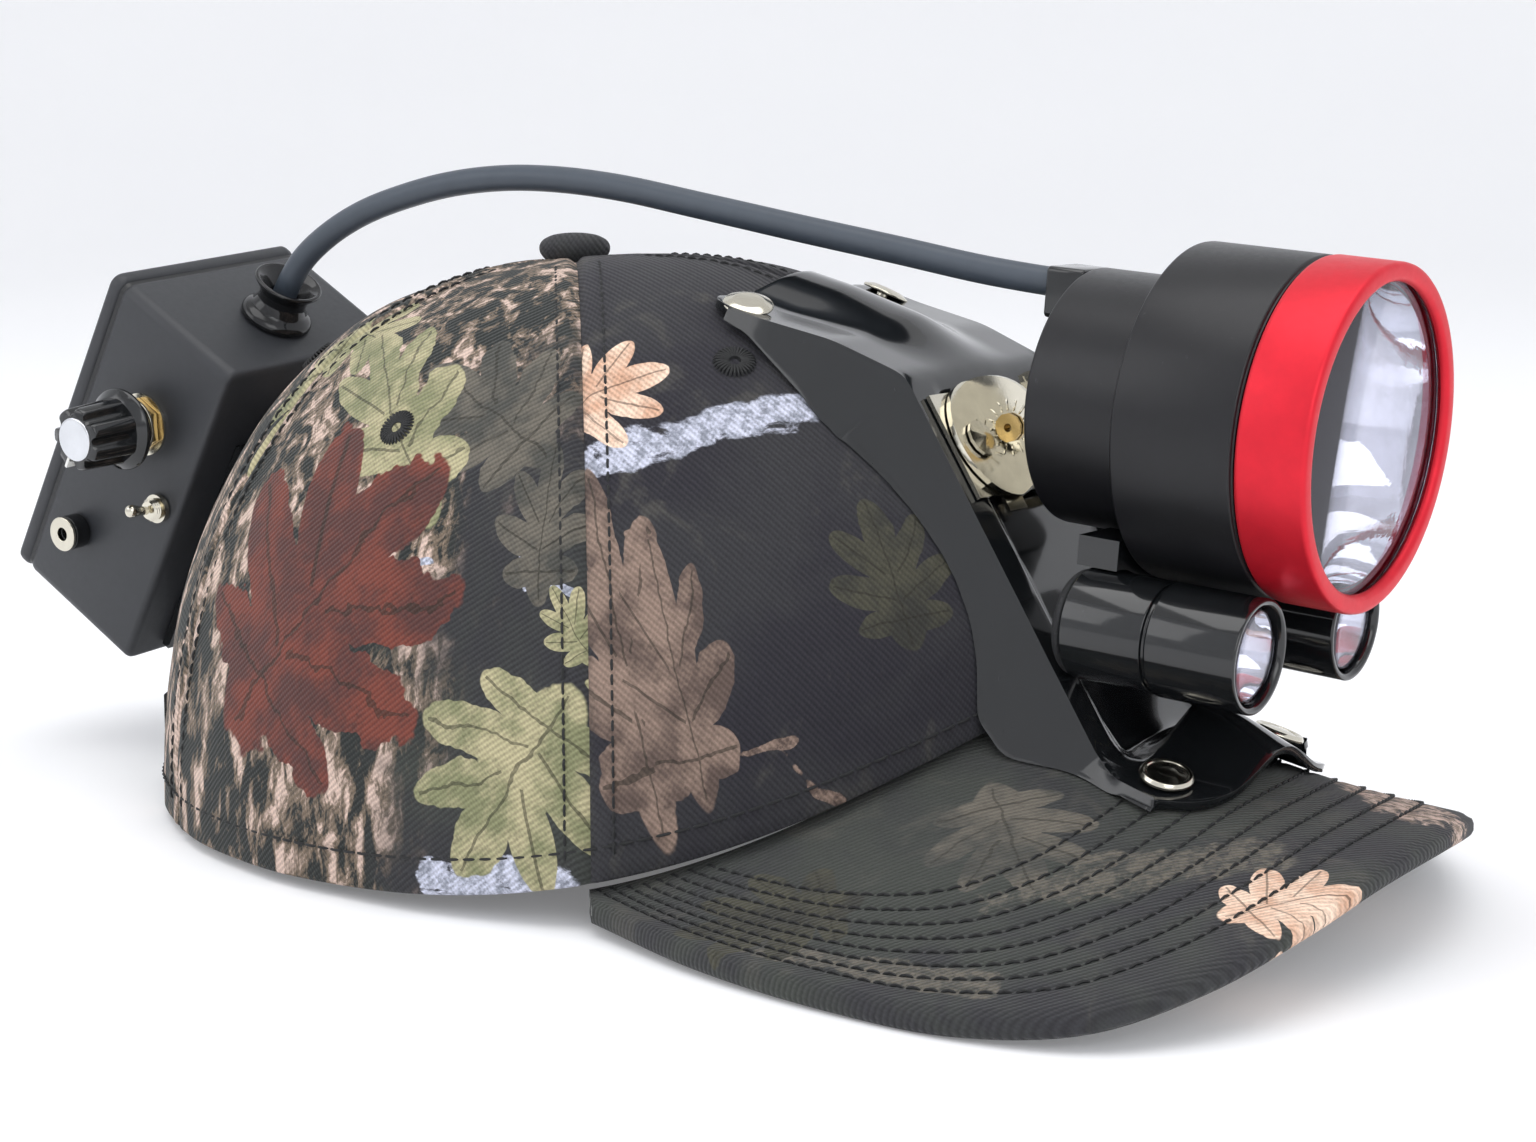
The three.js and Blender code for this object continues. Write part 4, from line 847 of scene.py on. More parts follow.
def band_piece(name, node, material, slot, low, high, inset, thickness, turns):
    """A strip round the inside of the crown."""
    levels = np.linspace(low, high, 10)
    angles = np.radians(np.linspace(-turns, turns, 180))
    sheets = []
    for extra, order in ((0.0, levels), (thickness, levels[::-1])):
        for level in order:
            row = crown_point(angles, level, inset + extra)
            row[:, 2] += 1.0
            row += 0.25 * np.sin(np.degrees(angles) / 2.2)[:, None] * np.array([0, 0, 1.0])
            sheets.append(row)
    grid = np.stack(sheets)
    faces = grid_faces(len(grid), grid.shape[1], closed_rows=True)
    return mesh_piece(name, grid.reshape(-1, 3), faces, material, stands_for=[node], slot=slot, sharp=60)


band_piece("inner_sweatband", "sweatband", WEB, "band_cloth", 0.02, 0.16, CLOTH + 1.8, 1.0, 158)


def seam_tapes():
    parts = []
    for seam in (0, 50, 125, -50, -125):
        levels = np.linspace(0.17, 0.93, 40)
        rows = []
        for off, deep in ((-5.5, 0.5), (-2.0, 0.8), (2.0, 0.8), (5.5, 0.5), (5.5, 0.2), (-5.5, 0.2)):
            rows.append(beside_seam(seam, off, levels, CLOTH + deep))
        grid = np.array(rows)
        parts.append((grid.reshape(-1, 3), grid_faces(len(rows), len(levels), closed_rows=True)))
    return joined(parts)


points, faces = seam_tapes()
mesh_piece("inner_seam_tapes", points, faces, WEB, slot="band_cloth", sharp=60)


def strap_strip(low, high, near, far, start, end, count=64):
    """A bent strip behind the cap between two heights and two distances out from the hem."""
    angles = np.radians(np.linspace(start, end, count))
    rows = []
    for height, out in ((low, near), (high, near), (high, far), (low, far)):
        radius = hem_radius(angles) + out
        rows.append(np.stack([CROWN["apex_x"] + radius * np.cos(angles), radius * np.sin(angles),
                              np.full_like(angles, height)], axis=1))
    grid = np.stack(rows)
    faces = grid_faces(4, count, closed_rows=True)
    faces += [tuple(r * count for r in range(4)), tuple(r * count + count - 1 for r in (3, 2, 1, 0))]
    return grid.reshape(-1, 3), faces


points, faces = strap_strip(2, 21, 0.4, 1.6, 152, 208)
mesh_piece("webbing_strap", points, faces, WEB, stands_for=["closure_strap"], slot="band_cloth", bevel=0.3)
BUCKLE_BARS = [                  # low and high edge, then start and end in degrees round the hem
    (0.9, 2.6, 190, 196, 8), (20.4, 22.1, 190, 196, 8),
    (0.9, 22.1, 190, 191, 4), (0.9, 22.1, 195, 196, 4), (0.9, 22.1, 192.6, 193.4, 4),
]
points, faces = joined([strap_strip(low, high, 1.8, 3.1, *turns) for low, high, *turns in BUCKLE_BARS])
mesh_piece("buckle_frame", points, faces, NICKEL, stands_for=["strap_buckle"], slot="nickel",
           bevel=0.25, weld=False)


# ---------------------------------------------------------------- visor
def smooth_curve(points, share):
    """The centripetal curve through points that the CAD source uses."""
    place = share * (len(points) - 1)
    index = min(int(place), len(points) - 2)
    weight = place - index
    p1, p2 = points[index], points[index + 1]
    p0 = points[index - 1] if index > 0 else 2 * p1 - p2
    p3 = points[index + 2] if index + 2 < len(points) else 2 * p2 - p1
    steps = ((p0, p1), (p1, p2), (p2, p3))
    d0, d1, d2 = (max(1e-4, np.linalg.norm(b - a)) ** 0.5 for a, b in steps)
    t1 = ((p1 - p0) / d0 - (p2 - p0) / (d0 + d1) + (p2 - p1) / d1) * d1
    t2 = ((p2 - p1) / d1 - (p3 - p1) / (d1 + d2) + (p3 - p2) / d2) * d1
    w2, w3 = weight ** 2, weight ** 3
    return ((2 * w3 - 3 * w2 + 1) * p1 + (w3 - 2 * w2 + weight) * t1
            + (-2 * w3 + 3 * w2) * p2 + (w3 - w2) * t2)


EDGE = [np.array(p, float) for p in VISOR_EDGE]


def visor_ends(u):
    """The seam and the edge of the visor's underside at u, from -1 on the right to 1."""
    angle = math.radians(VISOR_ANGLE) * u
    radius = float(hem_radius(angle, 4))
    hem = float(hem_height(CROWN["apex_x"] + hem_radius(angle) * math.cos(angle)))
    seam = np.array([CROWN["apex_x"] + radius * math.cos(angle), radius * math.sin(angle),
                     hem - VISOR_THICKNESS - 0.6])
    edge = smooth_curve(EDGE, (u + 1) / 2)
    return seam, edge


def visor_point(u, v, up=0.0):
    seam, edge = visor_ends(u)
    point = seam + (edge - seam) * v
    point[2] += up - VISOR_SAG * math.sin(math.pi * v) * (1 - u * u)
    return point


def visor_height(x, y):
    u, v = 0.0, 0.4
    for _ in range(60):
        p = visor_point(u, v, VISOR_THICKNESS)
        u += (y - p[1]) * 0.006
        v += (x - p[0]) * 0.006
    return float(visor_point(u, v, VISOR_THICKNESS)[2])


VISOR_ROWS = [8.5 + 5.6 * k for k in range(8)]


def visor_cover():
    across, along = 150, 90
    shares = np.sin(np.linspace(-1, 1, across) * math.pi / 2)
    grid_rows = []
    v_list = np.linspace(0, 1, along)
    for v in v_list:
        row = []
        for u in shares:
            seam, edge = visor_ends(u)
            span = np.linalg.norm(edge - seam)
            from_edge = span * (1 - v)
            dip = sum(0.28 * math.exp(-((from_edge - r) / 0.8) ** 2) for r in VISOR_ROWS if r < span - 3)
            dip += 0.5 * math.exp(-(from_edge / 0.7) ** 2)
            row.append(visor_point(u, v, VISOR_THICKNESS - dip))
        grid_rows.append(row)
    for turn in np.radians([50, 20, -20, -50]):
        row = []
        for u in shares:
            seam, edge = visor_ends(u)
            away = unit((edge - seam) * (1, 1, 0.3))
            middle = visor_point(u, 1.0, VISOR_THICKNESS / 2)
            row.append(middle + away * 1.3 * math.cos(turn) + np.array([0, 0, 1.9 * math.sin(turn)]))
        grid_rows.append(row)
    for v in v_list[::-1]:
        row = [visor_point(u, v, 0.0) for u in shares]
        grid_rows.append(row)
    grid = np.array(grid_rows)
    faces = grid_faces(len(grid), across)
    rows = len(grid)
    for i in range(along - 1):
        for column in (0, across - 1):
            faces.append(tuple(r * across + column for r in (i, i + 1, rows - i - 2, rows - i - 1)))
    return grid.reshape(-1, 3), faces


points, faces = visor_cover()
mesh_piece("visor_cloth_cover", points, faces, CLOTHS["visor"],
           stands_for=["visor_top_cloth", "visor_under_cloth"], slot="camo_cloth", sharp=75)


def visor_sewing():
    parts = []
    for row in VISOR_ROWS:
        path = []
        for u in np.sin(np.linspace(-0.96, 0.96, 160) * math.pi / 2):
            seam, edge = visor_ends(u)
            v = 1 - row / np.linalg.norm(edge - seam)
            if v > 0.03:
                path.append(visor_point(u, v, VISOR_THICKNESS - 0.1))
        parts.append(stitch_row(path, lambda p: (0, 0, 1.0), pitch=3.1, thread=0.25))
    return joined(parts)


points, faces = visor_sewing()
mesh_piece("visor_topstitching", points, faces, THREAD, slot="camo_cloth", weld=False)


# ---------------------------------------------------------------- front bracket
def on_wall(drop):
    return FOLD_TOP - WALL_UP * drop


def bracket_stations():
    """Rows of fold place x and z, wall direction x and z, wall depth, half width, lift and recess."""
    back = -WALL_OUT

    def row(place, way, wall, half, lift, recess):
        return [place[0], place[2], way[0], way[2], wall, half, lift, recess]

    def flat(x, wall, half, lift):
        return row((x, 0, visor_height(x, FOOT_LINE_Y) + SHEET + 0.7), (0, 0, -1), wall, half, lift, 0)

    down, corner = (-0.25, 0, -0.97), (-0.62, 0, -0.78)
    return np.array([
        row((54.0, 0, crown_height_over(54.0, 25) + 2.6), down, 1.6, 28, 4.5, 0),
        row((66, 0, crown_height_over(63, 25) + 3), down, 3, 28, 5, 0),
        row((82, 0, 102.4), down, 11, 26.5, 3.5, 0),
        row(FOLD_TOP, corner, 19, 25, 0.2, 0),
        row(on_wall(4), back, 19, 25, 0, 0.0),
        row(on_wall(7.5), back, 19, 25, 0, 2.0),
        row(on_wall(30), back, 18, 25, 0, 2.0),
        row(on_wall(55), back, 16, 25, 0, 2.0),
        row(on_wall(68), back, 14, 25, 0, 2.0),
        row(on_wall(77), back, 13, 25, 0.5, 0.6),
        flat(144, 1.6, 28.5, 7.5), flat(152, 1.6, 30.5, 7.0), flat(162.5, 1.6, 29, 4.0),
    ])


def bracket_rows(spacing=1.2, smoothing=3):
    stations = bracket_stations()
    gaps = np.linalg.norm(np.diff(stations[:, :2], axis=0), axis=1)
    along = np.concatenate([[0], np.cumsum(gaps)])
    places = np.arange(0, along[-1], spacing)
    dense = np.stack([np.interp(places, along, stations[:, k]) for k in range(8)], axis=1)
    for _ in range(smoothing):
        dense[1:-1] = (dense[:-2] + 2 * dense[1:-1] + dense[2:]) / 4
    return places, dense


def corner_cut(over):
    """How far a rounded corner takes the sheet's end back, over mm past where the round begins."""
    corner = BRACKET["corner"]
    return corner - math.sqrt(max(0.0, corner ** 2 - max(0.0, over) ** 2))


def bracket_mesh():
    """A grid over the sheet's face and its two side walls, which end on the cloth."""
    places, dense = bracket_rows()
    total = places[-1]
    wall_steps, face_steps = 8, 40
    columns = ([("wall", -1, 1 - k / wall_steps) for k in range(wall_steps)]
               + [("face", 0, -1 + 2 * k / face_steps) for k in range(face_steps + 1)]
               + [("wall", 1, (k + 1) / wall_steps) for k in range(wall_steps)])
    reach = {}
    rows = len(places)
    grid = np.zeros((rows, len(columns), 3))
    for j, (kind, side, k) in enumerate(columns):
        edge_share = 1.0 if kind == "wall" else abs(k)
        out = edge_share * BRACKET["half"]
        start = corner_cut(out - (BRACKET["half"] - BRACKET["corner"]))
        start += 3.0 * (1 - edge_share) ** 2
        finish = total - 4.0 * edge_share ** 2 - corner_cut(out - (BRACKET["half"] - BRACKET["front_round"]))
        for i in range(rows):
            s = start + (finish - start) * i / (rows - 1)
            x, z, ix, iz, wall, half, lift, recess = (np.interp(s, places, dense[:, c]) for c in range(8))
            way = unit((ix, 0, iz))
            if kind == "face":
                inner = 1 - min(1.0, max(0.0, (abs(k) - 0.62) / 0.10))
                depth = recess * inner * inner * (3 - 2 * inner)
                depth -= lift * math.cos(min(1, abs(k) / 0.62) * math.pi / 2) ** 2
                grid[i, j] = np.array([x, k * half, z]) + way * depth
                if x > FOOT_BEND:
                    share = min(1.0, (x - FOOT_BEND) / 6.0)
                    grid[i, j, 2] += share * (visor_height(x, k * half) - visor_height(x, FOOT_LINE_Y))
                continue
            if (i, side) not in reach:
                deep = 1.0
                while deep < wall:
                    tip = np.array([x, side * (half + BRACKET["splay"] * deep), z]) + way * deep
                    if tip[2] < CROWN["height"] and outside_crown(tip) < 0.9:
                        break
                    if OVER_VISOR_X < x and tip[2] < visor_height(tip[0], tip[1]) + 0.6:
                        break
                    deep += 0.5
                reach[(i, side)] = deep
            deep = reach[(i, side)] * k
            grid[i, j] = np.array([x, side * (half + BRACKET["splay"] * deep), z]) + way * deep
    return grid, len(columns)


def bracket_piece():
    grid, columns = bracket_mesh()
    for _ in range(4):
        for column in (0, columns - 1):
            grid[1:-1, column] = (grid[:-2, column] + 2 * grid[1:-1, column] + grid[2:, column]) / 4
    rows = grid.shape[0]
    piece = mesh_piece("folded_bracket", grid.reshape(-1, 3), grid_faces(rows, columns), GLOSS,
                       stands_for=["front_bracket"], slot="gloss_black", sharp=50)
    thick = piece.modifiers.new("sheet", "SOLIDIFY")
    thick.thickness = SHEET * 0.001
    thick.offset = -1.0
    soft_edge = piece.modifiers.new("edges", "BEVEL")
    soft_edge.width = 0.00035
    soft_edge.segments = 2
    soft_edge.limit_method = "ANGLE"
    soft_edge.angle_limit = math.radians(50)
    return piece


bracket_piece()


def aimed(place, along):
    """A frame at a place with +X along a direction."""
    turn = Vector((1, 0, 0)).rotation_difference(Vector(along))
    return Matrix.Translation(Vector(place)) @ turn.to_matrix().to_4x4()


def rivet_frame(x, y, height, side, slope):
    along = Vector((slope[0], side * slope[1], 1)).normalized()
    place = Vector((x, side * y, height)) + along * RIVET_STAND
    return aimed(place, along)


FLAT_RIVET = [(-6, 0), (-6, 1.6), (0, 1.6), (0, RIVET_HEAD), (0.55, RIVET_HEAD),
              (1.25, RIVET_HEAD * 0.62), (1.4, 0)]
RIMMED_RIVET = [(-8, 0), (-8, 1.6), (0, 1.6), (0, RIVET_HEAD), (0.5, RIVET_HEAD + 0.1),
                (1.2, RIVET_HEAD - 0.35), (1.1, RIVET_HEAD - 0.9), (0.8, RIVET_HEAD - 1.2),
                (1.2, 1.8), (1.3, 0)]
crown_seat_z = crown_height_over(*CROWN_RIVET) + SHEET + 0.9
visor_seat_z = visor_height(VISOR_RIVET[0], -VISOR_RIVET[1]) + SHEET + 1
for side_name, side in (("right", -1), ("left", 1)):
    seat = rivet_frame(*CROWN_RIVET, crown_seat_z, side, (0.34, 0.3))
    turned(f"flat_rivet_{side_name}", FLAT_RIVET, NICKEL, seat, 48, 0.25,
           stands_for=[f"crown_rivet_{side_name}"], slot="nickel")
    seat = rivet_frame(*VISOR_RIVET, visor_seat_z, side, (0.28, 0.22))
    turned(f"rimmed_rivet_{side_name}", RIMMED_RIVET, NICKEL, seat, 48, 0.15,
           stands_for=[f"visor_rivet_{side_name}"], slot="nickel")

HINGE_FRAME = Matrix.Translation(Vector(on_wall(HINGE_DROP))) @ Matrix.Rotation(-WALL_LEAN, 4, "Y")
parts = []
for side in (-1, 1):
    for k in range(16):
        turn = 2 * math.pi * k / 16
        ray = np.array([math.cos(turn), 0, math.sin(turn)])
        hub = np.array([PIVOT_OUT, side * (EAR_Y + 0.45), 0])
        parts.append(tube_mesh([hub + ray * r for r in (3.0, 3.4, 4.9, 5.3)], [0.05, 0.28, 0.28, 0.05], 6))
points, faces = joined(parts)
mesh_piece("hinge_ear_serrations", points, faces, NICKEL, within=HINGE_FRAME, slot="nickel", weld=False)


# ---------------------------------------------------------------- head lamp
def head_lamp():
    r, rear, bezel, step, length = (LAMP[k] for k in ("radius", "rear", "bezel", "step", "length"))
    turned("lamp_shell", [
        (-length, 0), (-length, rear), (-step, rear), (-step, r - 0.2), (-bezel - 0.9, r - 0.2),
        (-bezel - 0.6, r - 0.8), (-bezel - 0.3, r - 0.8), (-bezel - 0.3, r - 3), (-step + 3, r - 3),
        (-step + 3, rear - 3), (-length + 4, rear - 3), (-length + 4, 0)],
        SATIN, LAMP_FRAME, 128, 0.7, body="lamp", stands_for=["lamp_housing"], slot="satin_black")
    turned("red_bezel", [
        (-bezel, r - 2.3), (-bezel, r), (0, r), (0, LAMP["window"] + 0.5), (-1.6, LAMP["window"]),
        (-1.6, r - 2.3), (-bezel, r - 2.3)],
        RED, LAMP_FRAME, 128, 1.0, body="lamp", stands_for=["lamp_bezel"], slot="red_anodised")
    turned("front_glass", [(-4.0, 0), (-4.0, r - 2.8), (-2.0, r - 2.8), (-2.0, 0)],
           GLASS, LAMP_FRAME, 96, 0.2, body="lamp", stands_for=["lamp_lens"], slot="clear")
    bowl = [(-31.5 + 26.8 * k * k, 5 + 20.7 * k) for k in np.linspace(0, 1, 28)]
    back = [(x - 0.6, y + 0.3) for x, y in bowl[::-1]]
    turned("lamp_bowl", bowl + back + [bowl[0]], MIRROR, LAMP_FRAME, 128, 0, body="lamp",
           stands_for=["lamp_reflector"], slot="mirror", sharp=60)
    seal = [(-5.3 + 0.7 * math.cos(t), r - 3.7 + 0.7 * math.sin(t))
            for t in np.linspace(0, 2 * math.pi, 13)]
    turned("glass_seal", seal, SOFT_BLACK, LAMP_FRAME, 96, 0, body="lamp",
           stands_for=["lamp_seal"], slot="rubber", sharp=80)
    turned("emitter_dome", [(-32.7, 0), (-32.7, 3.4), (-32.0, 3.4), (-31.4, 2.8), (-30.7, 1.7), (-30.3, 0)],
           PHOSPHOR, LAMP_FRAME, 32, 0.2, body="lamp", stands_for=["lamp_led"], slot="led")
    outline = rounded(11, 9.4, 1.0)
    outline = [(y, z + 18.4) for y, z in outline]
    prism("wire_entry_block", outline, -length - 7.9, -length - 0.3, GLOSS, LAMP_FRAME, 0.5, body="lamp",
          stands_for=["cable_entry_block"], slot="gloss_black")


def small_lamp(side_name, side):
    r, length, joint = AUX["radius"], AUX["length"], AUX["joint"]
    within = LAMP_FRAME @ Matrix.Translation((-AUX["set_back"], side * AUX["y"], -AUX["below"]))
    turned(f"small_lamp_rear_{side_name}", [
        (-length, 0), (-length, r - 0.2), (-joint - 0.9, r - 0.2), (-joint - 0.9, r - 0.9),
        (-joint - 0.3, r - 0.9), (-joint - 0.3, r - 2), (-length + 2, r - 2), (-length + 2, 0)],
        GLOSS, within, 80, 0.35, body="lamp", stands_for=[f"aux_body_{side_name}"], slot="gloss_black")
    turned(f"small_lamp_front_{side_name}", [
        (-joint, r - 1.6), (-joint, r), (0, r), (0, r - 1.0), (-0.8, r - 1.6), (-joint, r - 1.6)],
        GLOSS, within, 80, 0.45, body="lamp", stands_for=[f"aux_head_{side_name}"], slot="gloss_black")
    turned(f"small_lamp_cap_{side_name}", [
        (-length - 2.2, 0), (-length - 2.2, r - 1.6), (-length - 1.2, r - 0.7), (-length - 0.3, r - 0.7),
        (-length - 0.3, 0)],
        ROUGH_RUBBER, within, 64, 0.4, body="lamp", stands_for=[f"aux_end_cap_{side_name}"], slot="rubber")
    dome = [(-2.7, 0), (-2.7, r - 1.9), (-1.6, r - 1.9)]
    dome += [(-1.6 + 0.9 * math.cos(t), (r - 1.9) * math.sin(t))
             for t in np.linspace(math.pi / 2 - 0.1, 0, 12)]
    turned(f"small_glass_{side_name}", dome, GLASS, within, 64, 0, body="lamp",
           stands_for=[f"aux_lens_{side_name}"], slot="clear", sharp=50)
    cone = [(-14.5 + 11.5 * k ** 1.4, 1.6 + (r - 4.2) * k) for k in np.linspace(0, 1, 16)]
    back = [(x - 0.3, y + 0.6) for x, y in cone[::-1]]
    turned(f"small_bowl_{side_name}", cone + back + [cone[0]], MIRROR, within, 64, 0, body="lamp",
           stands_for=[f"aux_reflector_{side_name}"], slot="mirror", sharp=60)
    turned(f"small_emitter_{side_name}", [(-15.2, 0), (-15.2, 2.6), (-14.9, 2.6), (-14.2, 1.4), (-13.6, 0)],
           PHOSPHOR, within, 24, 0.2, body="lamp", slot="led")


head_lamp()
small_lamp("right", -1)
small_lamp("left", 1)


# ---------------------------------------------------------------- battery box
def battery_box():
    length, width, depth, lid = (BOX[k] for k in ("length", "width", "depth", "lid"))
    outline = rounded(width, length, BOX["corner"], 8)
    prism("box_body", outline, lid + 0.55, depth, MATTE, BOX_FRAME, 1.5,
          stands_for=["box_shell"], slot="box_black")
    prism("box_back", outline, 0, lid, MATTE, BOX_FRAME, 1.3,
          stands_for=["box_lid"], slot="box_black")
    inset = rounded(width - 1.2, length - 1.2, BOX["corner"] - 0.6, 8)
    prism("box_joint_lip", inset, lid - 0.4, lid + 1.2, SOFT_BLACK, BOX_FRAME, 0, slot="box_black")
    top = BOX_FRAME @ Matrix.Translation((GLAND_X, 0, length / 2)) @ X_TO_UP
    turned("gland_flare", [
        (0.3, 2.8), (0.3, 7.9), (1.4, 8.0), (2.2, 7.5), (3.2, 6.2), (5.0, 5.3), (7.0, 5.6), (8.6, 6.9),
        (9.4, 7.6), (10.0, 7.4), (10.0, 6.8), (9.0, 5.4), (6.4, 3.4), (4.0, 2.9), (0.3, 2.8)],
        GLAND_BLACK, top, 80, 0.4, stands_for=["cable_gland"], slot="rubber")
    screw = [(0.1, 0.5), (0.1, 2.1), (0.5, 2.0), (0.7, 1.2), (0.3, 0.7), (-0.2, 0.5), (-0.2, 0.0)]
    from_edge = 5
    for k, (across, up) in enumerate(((-1, -1), (1, -1), (-1, 1), (1, 1))):
        place = (0, (width / 2 - from_edge) * across, (length / 2 - from_edge) * up)
        seat = BOX_FRAME @ Matrix.Translation(place) @ Matrix.Rotation(math.pi, 4, "Z")
        turned(f"lid_screw_{k + 1}", screw, NICKEL, seat, 32, 0.15, slot="nickel")


def on_side(at):
    """A frame on the box's right side with +X out of it."""
    place = Matrix.Translation((at[0], -BOX["width"] / 2, at[1]))
    return BOX_FRAME @ place @ Matrix.Rotation(-math.pi / 2, 4, "Z")


def fluted_knob(side):
    """A knob with seven flutes, narrower toward its outer end, which is closed."""
    around = 160
    turns = np.linspace(0, 2 * math.pi, around, endpoint=False)
    flutes = 6.4 + 0.85 * np.tanh(2.2 * np.cos(7 * turns) + 0.6)
    sheets = []
    for x, size in ((8.4, 1.02), (9.0, 1.0), (18.9, 0.95), (19.6, 0.92), (19.9, 0.88)):
        radii = size * flutes
        sheets.append(np.stack([np.full(around, x), radii * np.cos(turns), radii * np.sin(turns)], axis=1))
    faces = grid_faces(len(sheets), around, closed_columns=True)
    faces.append(tuple(range((len(sheets) - 1) * around, len(sheets) * around)))
    mesh_piece("fluted_knob", np.array(sheets).reshape(-1, 3), faces, GLOSS, body="knob", within=side,
               stands_for=["knob"], slot="gloss_black", sharp=50)


def controls():
    side = on_side(KNOB_AT)
    nut_corner = 5.4 / math.cos(math.radians(30)) * 0.97
    nut = [(nut_corner * math.cos(t), nut_corner * math.sin(t)) for t in np.radians(np.arange(0, 360, 60))]
    thread = [(0.1, 0), (0.1, 6.9), (0.8, 6.9), (0.9, 3.2)]
    for k in range(7):
        thread += [(1.0 + 0.7 * k, 3.95), (1.35 + 0.7 * k, 4.35)]
    turned("knob_thread", thread + [(6.0, 3.9), (6.0, 0)], NICKEL, side, 48, 0,
           stands_for=["knob_bushing"], slot="nickel", sharp=30)
    prism("knob_nut", nut, 0.9, 3.0, BRASS, side, 0.25, slot="brass")
    turned("knob_washer", [(3.1, 3.6), (3.1, 6.3), (3.7, 6.3), (3.7, 3.6)],
           NICKEL, side, 48, 0.15, slot="nickel")
    fluted_knob(side)
    turned("knob_skirt", [(6.4, 0), (6.4, 9.0), (7.3, 9.0), (8.9, 7.2), (8.9, 0)],
           GLOSS, side, 80, 0.4, body="knob", slot="gloss_black")
    turned("knob_disc", [(19.4, 0), (19.4, 4.8), (20.2, 4.7), (20.35, 4.3), (20.25, 0)],
           FACE_METAL, side, 64, 0.15, body="knob", stands_for=["knob_cap"], slot="nickel")
    bar = [(-0.35, 4.9), (0.35, 4.9), (0.35, 7.35), (-0.35, 7.35)]
    prism("knob_pointer", [(y, -z) for y, z in bar], 9.2, 20.0, WHITE, side, 0.1, body="knob", slot="nickel")
    side = on_side(JACK_AT)
    barrel = [(-6, 0), (-6, 3), (0.3, 3), (0.3, 3.9), (4.2, 3.9), (4.2, 1.3), (-2, 1.3), (-2, 0)]
    turned("jack_barrel", barrel, GLAND_BLACK, side, 64, 0.3,
           stands_for=["charge_jack"], slot="gloss_black")
    turned("jack_face", [(4.5, 1.5), (4.5, 3.9), (5.3, 3.9), (5.3, 1.5), (4.5, 1.5)],
           NICKEL, side, 64, 0.2, stands_for=["charge_jack_ring"], slot="nickel")
    side = on_side(TOGGLE_AT)
    neck = [(0.3, 0), (0.3, 3.2), (1.5, 3.2), (1.6, 2.1)]
    for k in range(3):
        neck += [(1.7 + 0.6 * k, 2.1), (2.0 + 0.6 * k, 2.45)]
    turned("toggle_neck", neck + [(3.6, 2.0), (3.6, 0)], NICKEL, side, 40, 0,
           stands_for=["toggle_bushing"], slot="nickel", sharp=30)
    lever = side @ Matrix.Translation((3.4, 0, 0)) @ Matrix.Rotation(-math.radians(12), 4, "Y")
    turned("toggle_bat", [(0.6, 0), (0.6, 0.9), (3.0, 1.05), (5.4, 1.45), (6.3, 1.35), (6.8, 0.7), (6.85, 0)],
           NICKEL, lever, 32, 0.3, body="toggle", stands_for=["toggle_lever"], slot="nickel")


battery_box()
controls()


# ---------------------------------------------------------------- cable
def cable():
    route = [np.array(p, float) for p in CABLE_ROUTE]
    path = [smooth_curve(route, k) for k in np.linspace(0, 1, 160)]
    points, faces = tube_mesh(path, [CABLE_RADIUS] * len(path), 24)
    piece = mesh_piece("power_cable", points, faces, RUBBER, stands_for=["cable"], slot="rubber", sharp=60)
    piece.parent = None
    del piece["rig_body"]
    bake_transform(piece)


cable()

# ---------------------------------------------------------------- materials of the CAD pieces that stay
KEPT = {
    "visor_board": BOARD, "hinge_back_plate": NICKEL,
    "hinge_ear_right": NICKEL, "hinge_ear_left": NICKEL,
    "hinge_rivet_right": NICKEL, "hinge_rivet_left": NICKEL,
    "hinge_pivot_right": BRASS, "hinge_pivot_left": BRASS,
    "lamp_led_board": CIRCUIT, "lamp_heat_sink": ALUMINIUM, "lamp_yoke": NICKEL, "aux_bracket": GLOSS,
    "battery_pack": WRAP, "control_board": CIRCUIT, "box_mount_clip": GLOSS,
}
for node, material in KEPT.items():
    kept = frame["nodes"][node]
    kept.data.materials.clear()
    kept.data.materials.append(material)
    edges = kept.modifiers.new("edges", "BEVEL")
    edges.width = 0.00022
    edges.segments = 2
    edges.limit_method = "ANGLE"
    edges.angle_limit = math.radians(40)
    edges.harden_normals = False

# ---------------------------------------------------------------- camera, light and floor
camera_data = bpy.data.cameras.new("camera")
camera_data.sensor_width = 36
camera_data.lens = CAMERA["lens"]
camera_data.clip_start = 0.01
camera = bpy.data.objects.new("camera", camera_data)
bpy.context.scene.collection.objects.link(camera)
turn, rise = math.radians(CAMERA["azimuth"]), math.radians(CAMERA["elevation"])
looking = Vector((-math.sin(turn) * math.cos(rise), math.cos(turn) * math.cos(rise), -math.sin(rise)))
camera.location = CAP @ Vector(CAMERA["place"])
camera.rotation_euler = looking.to_track_quat("-Z", "Y").to_euler()
bpy.context.scene.camera = camera


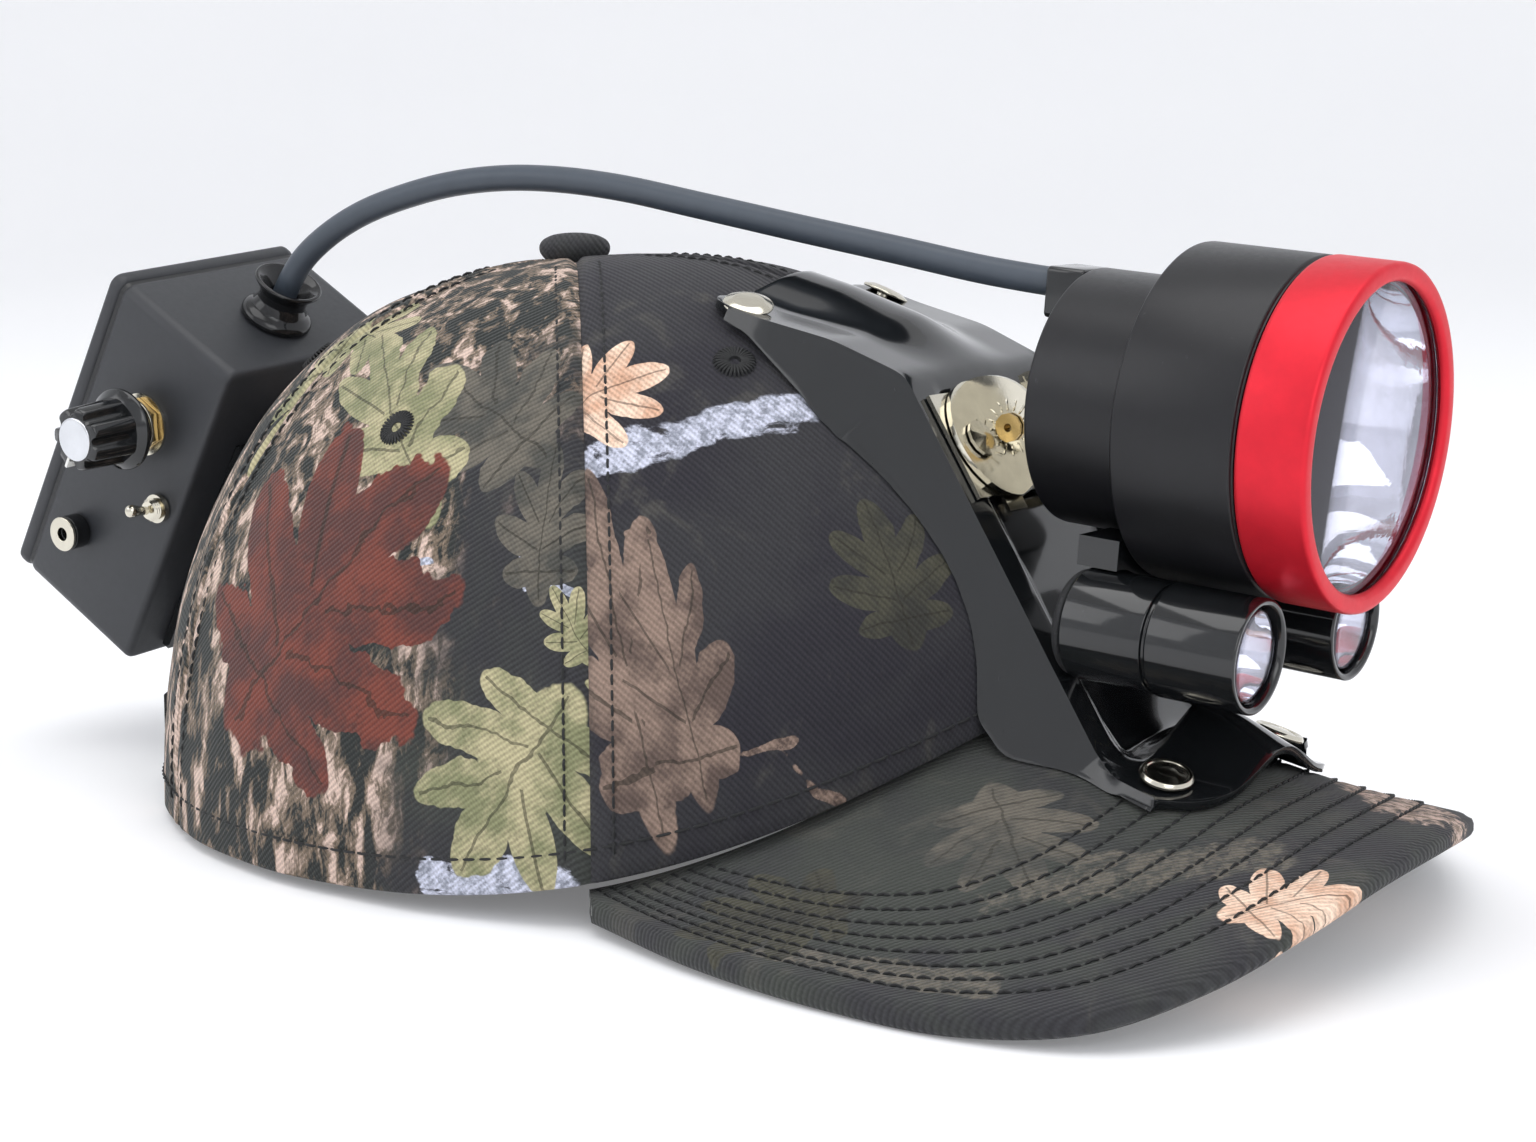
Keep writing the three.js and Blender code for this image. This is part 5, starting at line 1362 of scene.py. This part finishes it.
def backdrop():
    """A pale sweep: a floor that curves up far behind the object on every side."""
    material = bpy.data.materials.new("pale_sweep")
    material.use_nodes = True
    tree = material.node_tree
    surface = tree.nodes["Principled BSDF"]
    surface.inputs["Roughness"].default_value = 0.9
    surface.inputs["Emission Color"].default_value = (0.95, 0.955, 0.98, 1)
    surface.inputs["Emission Strength"].default_value = 0.17
    where = add(tree, "ShaderNodeTexCoord").outputs["Object"]
    tint = mixed(tree, noise(tree, where, 3.0), (0.83, 0.835, 0.85, 1), (0.86, 0.865, 0.875, 1))
    tree.links.new(tint, surface.inputs["Base Color"])
    profile = [(0, 0), (2.5, 0)] + [(2.5 + 1.2 * math.sin(t), 1.2 - 1.2 * math.cos(t))
                                    for t in np.linspace(0, math.pi / 2, 12)[1:]] + [(3.7, 4.0)]
    points = [(r * math.cos(a), r * math.sin(a), z) for r, z in profile
              for a in np.linspace(0, 2 * math.pi, 96, endpoint=False)]
    mesh = bpy.data.meshes.new("sweep")
    mesh.from_pydata(points, [], grid_faces(len(profile), 96, closed_columns=True))
    for face in mesh.polygons:
        face.use_smooth = True
    mesh.materials.append(material)
    sweep = bpy.data.objects.new("sweep", mesh)
    sweep.location.z = -0.0004
    bpy.context.scene.collection.objects.link(sweep)


def soft_light(name, place, aim, size, power, tint=(1, 1, 1)):
    data = bpy.data.lights.new(name, "AREA")
    data.shape = "RECTANGLE"
    data.size, data.size_y = size
    data.energy = power
    data.color = tint
    lamp = bpy.data.objects.new(name, data)
    lamp.location = place
    lamp.rotation_euler = (Vector(aim) - Vector(place)).to_track_quat("-Z", "Y").to_euler()
    bpy.context.scene.collection.objects.link(lamp)


backdrop()
soft_light("top_light", (0.1, -0.2, 1.5), (0, 0, 0.05), (1.6, 1.2), 11)
soft_light("front_light", (1.2, -1.1, 0.8), (0.05, 0, 0.06), (1.0, 0.9), 5)
soft_light("left_light", (-1.0, -1.2, 0.9), (0, 0, 0.06), (1.0, 0.9), 3.5)
world = bpy.data.worlds.new("studio")
world.use_nodes = True
world.node_tree.nodes["Background"].inputs["Color"].default_value = (0.95, 0.955, 0.975, 1)
world.node_tree.nodes["Background"].inputs["Strength"].default_value = 0.74
bpy.context.scene.world = world
bpy.context.scene.view_settings.view_transform = "Standard"
